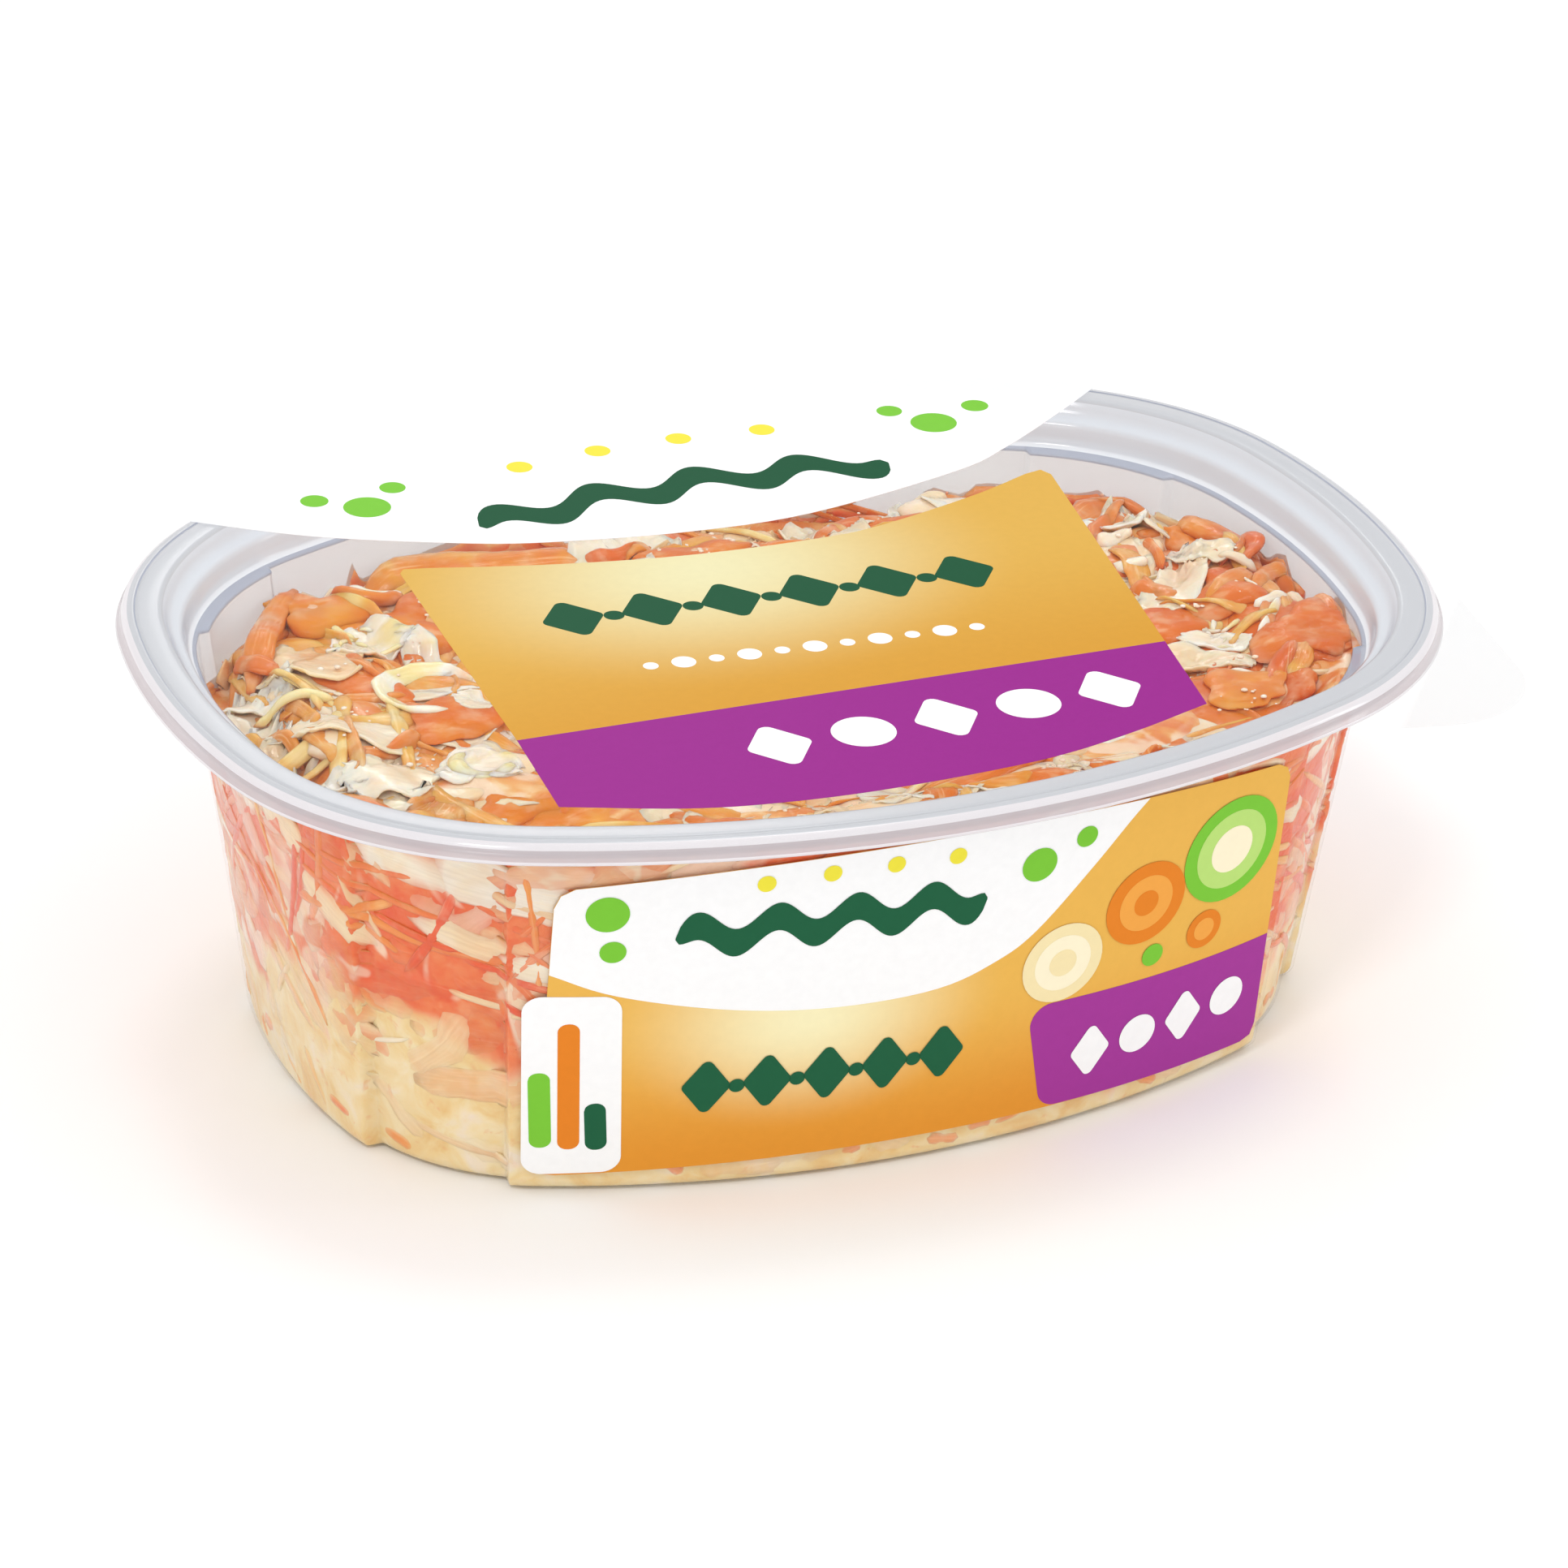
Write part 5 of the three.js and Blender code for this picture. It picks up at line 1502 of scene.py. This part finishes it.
def y_span(poly, x):
    x0, y0 = poly[:, 0], poly[:, 1]
    x1, y1 = np.roll(x0, -1), np.roll(y0, -1)
    hit = (np.minimum(x0, x1) <= x + 1e-9) & (np.maximum(x0, x1) >= x - 1e-9)
    xa, ya, xb, yb = x0[hit], y0[hit], x1[hit], y1[hit]
    k = np.where(np.abs(xb - xa) < 1e-9, 0.0, (x - xa) / np.where(np.abs(xb - xa) < 1e-9, 1, xb - xa))
    k = np.clip(k, 0, 1)
    y = ya + (yb - ya) * k
    flat = np.abs(xb - xa) < 1e-9
    y = np.concatenate([y, yb[flat]])
    return y.min(), y.max()


def plate(name, poly, place, thick, mat, slot, step=1.6, rows=6):
    """Thin closed plate over an outline that every vertical line crosses once. place(u, v, out) maps it into space."""
    poly = np.asarray(poly, float)
    lo, hi = poly[:, 0].min(), poly[:, 0].max()
    xs = np.unique(np.concatenate([np.round(poly[:, 0], 4), np.linspace(lo, hi, max(3, int((hi - lo) / step) + 1))]))
    keep = [0]
    for i in range(1, len(xs)):
        if xs[i] - xs[keep[-1]] > 0.02 or i == len(xs) - 1:
            keep.append(i)
    xs = xs[keep]
    span = np.array([y_span(poly, min(max(x, lo + 1e-4), hi - 1e-4)) for x in xs])
    f = np.linspace(0, 1, rows + 1)
    gu = np.repeat(xs[:, None], rows + 1, 1)
    gv = span[:, :1] + (span[:, 1:] - span[:, :1]) * f[None, :]
    gap = np.maximum(span[:, 1:] - span[:, :1], 0)
    gv = np.where(gap < 0.02, span.mean(1, keepdims=True) + (f[None, :] - 0.5) * 0.02, gv)
    top = place(gu.ravel(), gv.ravel(), thick)
    bot = place(gu.ravel(), gv.ravel(), 0.0)
    q = sheet_faces(len(xs), rows + 1)
    d0 = top[rows + 1] - top[0]
    d1 = top[1] - top[0]
    mid = len(xs) // 2 * (rows + 1) + rows // 2
    nrm = np.cross(top[mid + rows + 1] - top[mid], top[mid + 1] - top[mid])
    if nrm @ (top[mid] - bot[mid]) < 0:
        q = q[:, ::-1]
    ob = make_object(name, np.concatenate([top, bot]), q, None, (mat,), smooth_shade=False)
    if slot == "film":
        lets_light_in(ob)
    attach(ob, "root")
    return ob


def on_film(level):
    def place(u, v, out):
        return np.stack([u, v, np.full(len(u), FILM_Z + FILM_T + level + out)], 1)
    return place


def on_front(level):
    def place(u, v, out):
        r = R_SIDE - wall_off(v) + level + out
        return np.stack([u, -(C1[1] + np.sqrt(np.maximum(r * r - u * u, 0))), v + 0 * u], 1)
    return place


WHITE = print_material("ink_white", lambda nt, vec, xyz: (0.94, 0.94, 0.94, 1))
VEIL = print_material("ink_white_on_rim", lambda nt, vec, xyz: (0.86, 0.87, 0.885, 1))
PURPLE = print_material("ink_purple", lambda nt, vec, xyz: lin(163, 60, 152))
# darker copies of the purple and dark green inks for the film's top, where the light falls stronger than on the front
# label: painted shade
PURPLE_TOP_SHADED = print_material("ink_purple_top_painted_shade", lambda nt, vec, xyz: lin(152, 40, 140))
DARK_TOP_SHADED = print_material("ink_dark_green_top_painted_shade", lambda nt, vec, xyz: lin(24, 84, 54))
DARK = print_material("ink_dark_green", lambda nt, vec, xyz: lin(38, 96, 66))
LIGHT = print_material("ink_light_green", lambda nt, vec, xyz: lin(124, 198, 62))
LEMON = print_material("ink_lemon", lambda nt, vec, xyz: lin(238, 226, 70))
AMBER = print_material("ink_amber", lambda nt, vec, xyz: lin(228, 132, 44))
PALE_GREEN = print_material("ink_pale_green", lambda nt, vec, xyz: lin(186, 222, 122))
PALE_AMBER = print_material("ink_pale_amber", lambda nt, vec, xyz: lin(240, 166, 76))
PALE_CREAM = print_material("ink_pale_cream", lambda nt, vec, xyz: lin(250, 240, 208))
CREAM = print_material("ink_cream", lambda nt, vec, xyz: lin(243, 226, 176))


def glow_colour(cx, cy, rx, ry, axis_y, lo, hi, stops):
    """Warm yellow field with a pale glow, and darker towards one edge."""
    def build(nt, vec, xyz):
        v = xyz[2] if axis_y == "z" else xyz[1]
        dx = math_node(nt, "MULTIPLY", math_node(nt, "SUBTRACT", xyz[0], cx * MM), 1.0 / (rx * MM))
        dy = math_node(nt, "MULTIPLY", math_node(nt, "SUBTRACT", v, cy * MM), 1.0 / (ry * MM))
        r = math_node(nt, "SQRT", math_node(nt, "ADD", math_node(nt, "MULTIPLY", dx, dx), math_node(nt, "MULTIPLY", dy, dy)))
        base = ramp(nt, remap(nt, v, lo * MM, hi * MM), [(0.0, stops[2]), (1.0, stops[1])])
        g = remap(nt, r, 0.0, 1.0, 1.0, 0.0)
        return mix_rgb(nt, g, base, stops[0])
    return build


def build_film():
    out = film_outline()
    n = len(out)
    mid = out * 0.5
    z0, z1 = FILM_Z, FILM_Z + FILM_T
    c = np.array([[0, 0]])
    rings = [np.column_stack([mid, np.full(n, z0)]), np.column_stack([out * 0.985, np.full(n, z0)]), np.column_stack([out, np.full(n, z0 + 0.02)]),
             np.column_stack([out, np.full(n, z1 - 0.02)]), np.column_stack([out * 0.985, np.full(n, z1)]), np.column_stack([mid, np.full(n, z1)])]
    v, q, t = loft(rings)
    ob = make_object("sealing_film", v, q, t, (clear_film_material(),), smooth_shade=False)
    lets_light_in(ob)
    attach(ob, "root")
    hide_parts("film")
    # printed fields: white crescent along the back, warm yellow panel, purple band
    low = spline([(-58.4, 43.6), (-54.3, 40.0), (-43.2, 31.8), (-29.2, 24.8), (-19.4, 21.4), (-4.0, 18.6), (11.3, 18.4), (31.4, 23.2), (39.7, 27.4), (48.5, 33.4), (55.6, 38.7), (60.6, 42.8)], 6)
    def rim_arc(off):
        xb, yb = plan(np.linspace(0, math.pi, 721), off)
        arc = np.stack([xb, yb], 1)
        lower = np.interp(arc[:, 0], low[:, 0], low[:, 1], left=99, right=99)
        arc = arc[arc[:, 1] > lower + 0.02]
        return arc[np.argsort(-arc[:, 0])][::3]

    edge, inner = rim_arc(0.9), rim_arc(5.0)
    clip = low[(low[:, 0] > inner[-1, 0]) & (low[:, 0] < inner[0, 0])]
    plate("print_white_on_rim", np.concatenate([low, edge]), on_film(0.01), 0.02, VEIL, "film", rows=4)
    plate("print_white_crescent", np.concatenate([clip, inner]), on_film(0.04), 0.02, WHITE, "film", rows=3)
    top = spline([(-36.6, 20.4), (-21.8, 16.0), (-6.5, 12.9), (8.6, 11.9), (17.0, 12.6), (30.4, 16.4), (40.0, 20.4)], 6)
    panel = np.concatenate([round_poly([(-36.9, 21.0), (-38.6, 0.0), (-41.5, -30.0)], [0, 0, 0]), [(-40.4, -23.4)], [(34.2, -25.5)], top[::-1]])
    left = [(-37.6, 19.4), (-40.4, -23.4)]
    right = [(34.2, -25.5), (41.2, 18.6)]
    panel = np.concatenate([[left[0]], [left[1]], [right[0]], [right[1]], [(40.6, 20.2)], top[::-1][1:-1], [(-36.9, 20.3)]])
    yel = print_material("ink_panel", glow_colour(-6.0, 9.0, 38, 30, "y", -27, 6, (lin(231, 224, 178), lin(219, 173, 80), lin(212, 154, 56))))
    plate("print_panel", panel, on_film(0.01), 0.03, yel, "film", rows=12, step=3)
    band = np.concatenate([[(-40.4, -23.4)], spline([(-41.9, -39.2), (-29.8, -44.1), (-20.3, -46.3), (-7.9, -47.4), (9.0, -46.9), (20.3, -44.6), (31.7, -40.9)], 6), [(34.2, -25.5)]])
    # the purple band uses the darker copy of the ink, with painted shade
    plate("print_band", band, on_film(0.01), 0.03, PURPLE_TOP_SHADED, "film", rows=4)
    # plain shapes fill the rest of the print
    # the dark green shapes use the darker copy of the ink, with painted shade
    shapes = [(ribbon(-25, 25, 30.5, 1.9, 12.5, 4.6, 0.0, 2.6), DARK_TOP_SHADED)]
    for k in range(6):
        x = -24.0 + 9.0 * k
        shapes.append((diamond(x, 2.0 - 0.085 * (x + 24), 7.4, 9.6), DARK_TOP_SHADED))
        if k < 5:
            shapes.append((disc(x + 4.5, 1.6 - 0.085 * (x + 28), 1.15), DARK_TOP_SHADED))
    for k in range(11):
        x = -20.5 + 3.7 * k
        shapes.append((disc(x, -11.8 - 0.09 * (x + 20.5), 1.35 if k % 2 else 0.85), WHITE))
    for k in range(5):
        x = -15.0 + 9.6 * k
        shapes.append((disc(x, -34.3, 3.5) if k % 2 else diamond(x, -34.2, 7.6, 10.5, 1.0), WHITE))
    shapes += [(disc(-35.0, 37.0, 2.7), LIGHT), (disc(-40.0, 40.6, 1.6), LIGHT), (disc(-30.5, 41.0, 1.5), LIGHT), (disc(34.5, 36.4, 2.7), LIGHT), (disc(41.0, 39.2, 1.6), LIGHT), (disc(31.0, 41.2, 1.5), LIGHT),
               (disc(-15.0, 41.3, 1.5), LEMON), (disc(-5.0, 42.4, 1.5), LEMON), (disc(5.0, 42.4, 1.5), LEMON), (disc(15.0, 41.4, 1.5), LEMON)]
    for k, (poly, mat) in enumerate(shapes):
        plate("print_shape_%02d" % k, poly, on_film(0.065), 0.015, mat, "film", rows=3, step=1.0)


def build_label():
    L, R, TAGX, TAGTOP = -42.3, 43.6, -44.8, 25.8

    def top(x):
        return 42.2 - 2.9 * (np.asarray(x) / 42.6) ** 2

    def low(x):
        return 3.6 - 1.3 * (np.asarray(x) / 44.0) ** 2

    xs = np.linspace(L + 2.0, R - 2.0, 60)
    outline = [(x, float(top(x))) for x in xs[::-1]]
    corner_tl = [(L + 0.6, float(top(L)) - 0.6), (L, float(top(L)) - 2.2)]
    corner_bl = [(L, float(low(L)) + 0.3)]
    outline += corner_tl + corner_bl + [(x, float(low(x))) for x in xs]
    outline += [(R - 0.5, float(low(R)) + 0.5), (R, float(low(R)) + 2.0), (R, float(top(R)) - 2.0), (R - 0.6, float(top(R)) - 0.6)]
    glow = print_material("ink_label", glow_colour(-15.0, 21.5, 23, 15, "z", 4, 22, (lin(245, 236, 190), lin(233, 181, 86), lin(226, 150, 55))))
    base = plate("label_sheet", np.array(outline), on_front(0.02), 0.10, glow, "label", rows=16, step=1.4)
    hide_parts("label_front")
    # white upper field
    edge = spline([(-42.3, 28.7), (-35.4, 25.9), (-23.3, 23.4), (-12.0, 22.4), (-0.7, 22.8), (6.0, 24.9), (10.5, 27.7), (16.8, 34.3), (21.0, 39.0), (23.3, 41.3)], 6)
    field = np.concatenate([edge, [(x, float(top(x))) for x in np.linspace(23.3, L + 2.0, 40)], [(L + 0.6, float(top(L)) - 0.6), (L, float(top(L)) - 2.2)]])
    plate("label_white_field", field, on_front(0.13), 0.02, WHITE, "label", rows=8, step=1.4)
    box = round_poly([(10.6, 17.6), (13.6, 3.6)] + [(x, float(low(x)) + 0.02) for x in (22.0, 29.0, 36.0, R - 2.0)]
                     + [(R - 0.52, float(low(R)) + 0.52), (R - 0.02, float(low(R)) + 2.0), (R - 0.02, 16.4)], [2.4, 2.6] + [0] * 7)
    plate("label_box", box, on_front(0.13), 0.02, PURPLE, "label", rows=6, step=1.4)
    tag = round_poly([(-44.8, 25.9), (-43.6, 2.6), (-33.6, 3.0), (-34.9, 25.9)], 2.0)
    plate("label_tag", tag, on_front(0.15), 0.03, WHITE, "label", rows=6, step=0.8)
    low_shapes = [(ribbon(-30, 4, 33.6, 1.35, 8.5, 3.5, 0.015, 0.6), DARK), (disc(-37.0, 36.4, 2.2), LIGHT), (disc(-36.2, 31.6, 1.35), LIGHT), (disc(10.0, 36.4, 2.1), LIGHT), (disc(15.6, 38.6, 1.3), LIGHT),
                  (disc(-21.0, 39.3, 1.0), LEMON), (disc(-14.0, 39.8, 1.0), LEMON), (disc(-7.0, 39.9, 1.0), LEMON), (disc(0.0, 39.7, 1.0), LEMON),
                  (disc(36.0, 30.6, 6.6), LIGHT), (disc(24.6, 27.4, 5.2), AMBER), (disc(14.4, 22.6, 5.0), CREAM), (disc(33.4, 21.0, 2.4), AMBER), (disc(26.4, 20.0, 1.4), LIGHT),
                  (bar(-41.9, 6.2, -42.6, 16.0, 2.2), LIGHT), (bar(-39.1, 6.0, -40.0, 22.4, 2.2), AMBER), (bar(-36.3, 5.9, -36.8, 12.0, 2.2), DARK)]
    for k in range(5):
        x = -25.5 + 6.5 * k
        low_shapes.append((diamond(x, 13.6 + 0.03 * (x + 25), 5.4, 7.6, 0.7), DARK))
        if k < 4:
            low_shapes.append((disc(x + 3.25, 13.5 + 0.03 * (x + 25), 0.85), DARK))
    for k in range(4):
        x = 19.4 + 6.3 * k
        low_shapes.append((disc(x, 9.6 + 0.03 * (x - 19), 2.4) if k % 2 else diamond(x, 9.6 + 0.03 * (x - 19), 5.2, 7.4, 0.7), WHITE))
    for k, (poly, mat) in enumerate(low_shapes):
        plate("label_shape_%02d" % k, poly, on_front(0.19), 0.015, mat, "label", rows=3, step=0.8)
    ring = [(disc(36.0, 30.6, 4.9), PALE_GREEN), (disc(24.6, 27.4, 3.5), PALE_AMBER), (disc(14.4, 22.6, 3.5), PALE_CREAM), (disc(33.4, 21.0, 1.4), PALE_AMBER)]
    core = [(disc(36.0, 30.6, 2.9), PALE_CREAM), (disc(24.6, 27.4, 1.6), AMBER), (disc(14.4, 22.6, 1.7), CREAM)]
    for level, group in ((0.21, ring), (0.23, core)):
        for k, (poly, mat) in enumerate(group):
            plate("label_ring_%02d_%d" % (round(level * 100), k), poly, on_front(level), 0.015, mat, "label", rows=3, step=0.8)


build_tub()
build_slaw()
build_film()
build_label()
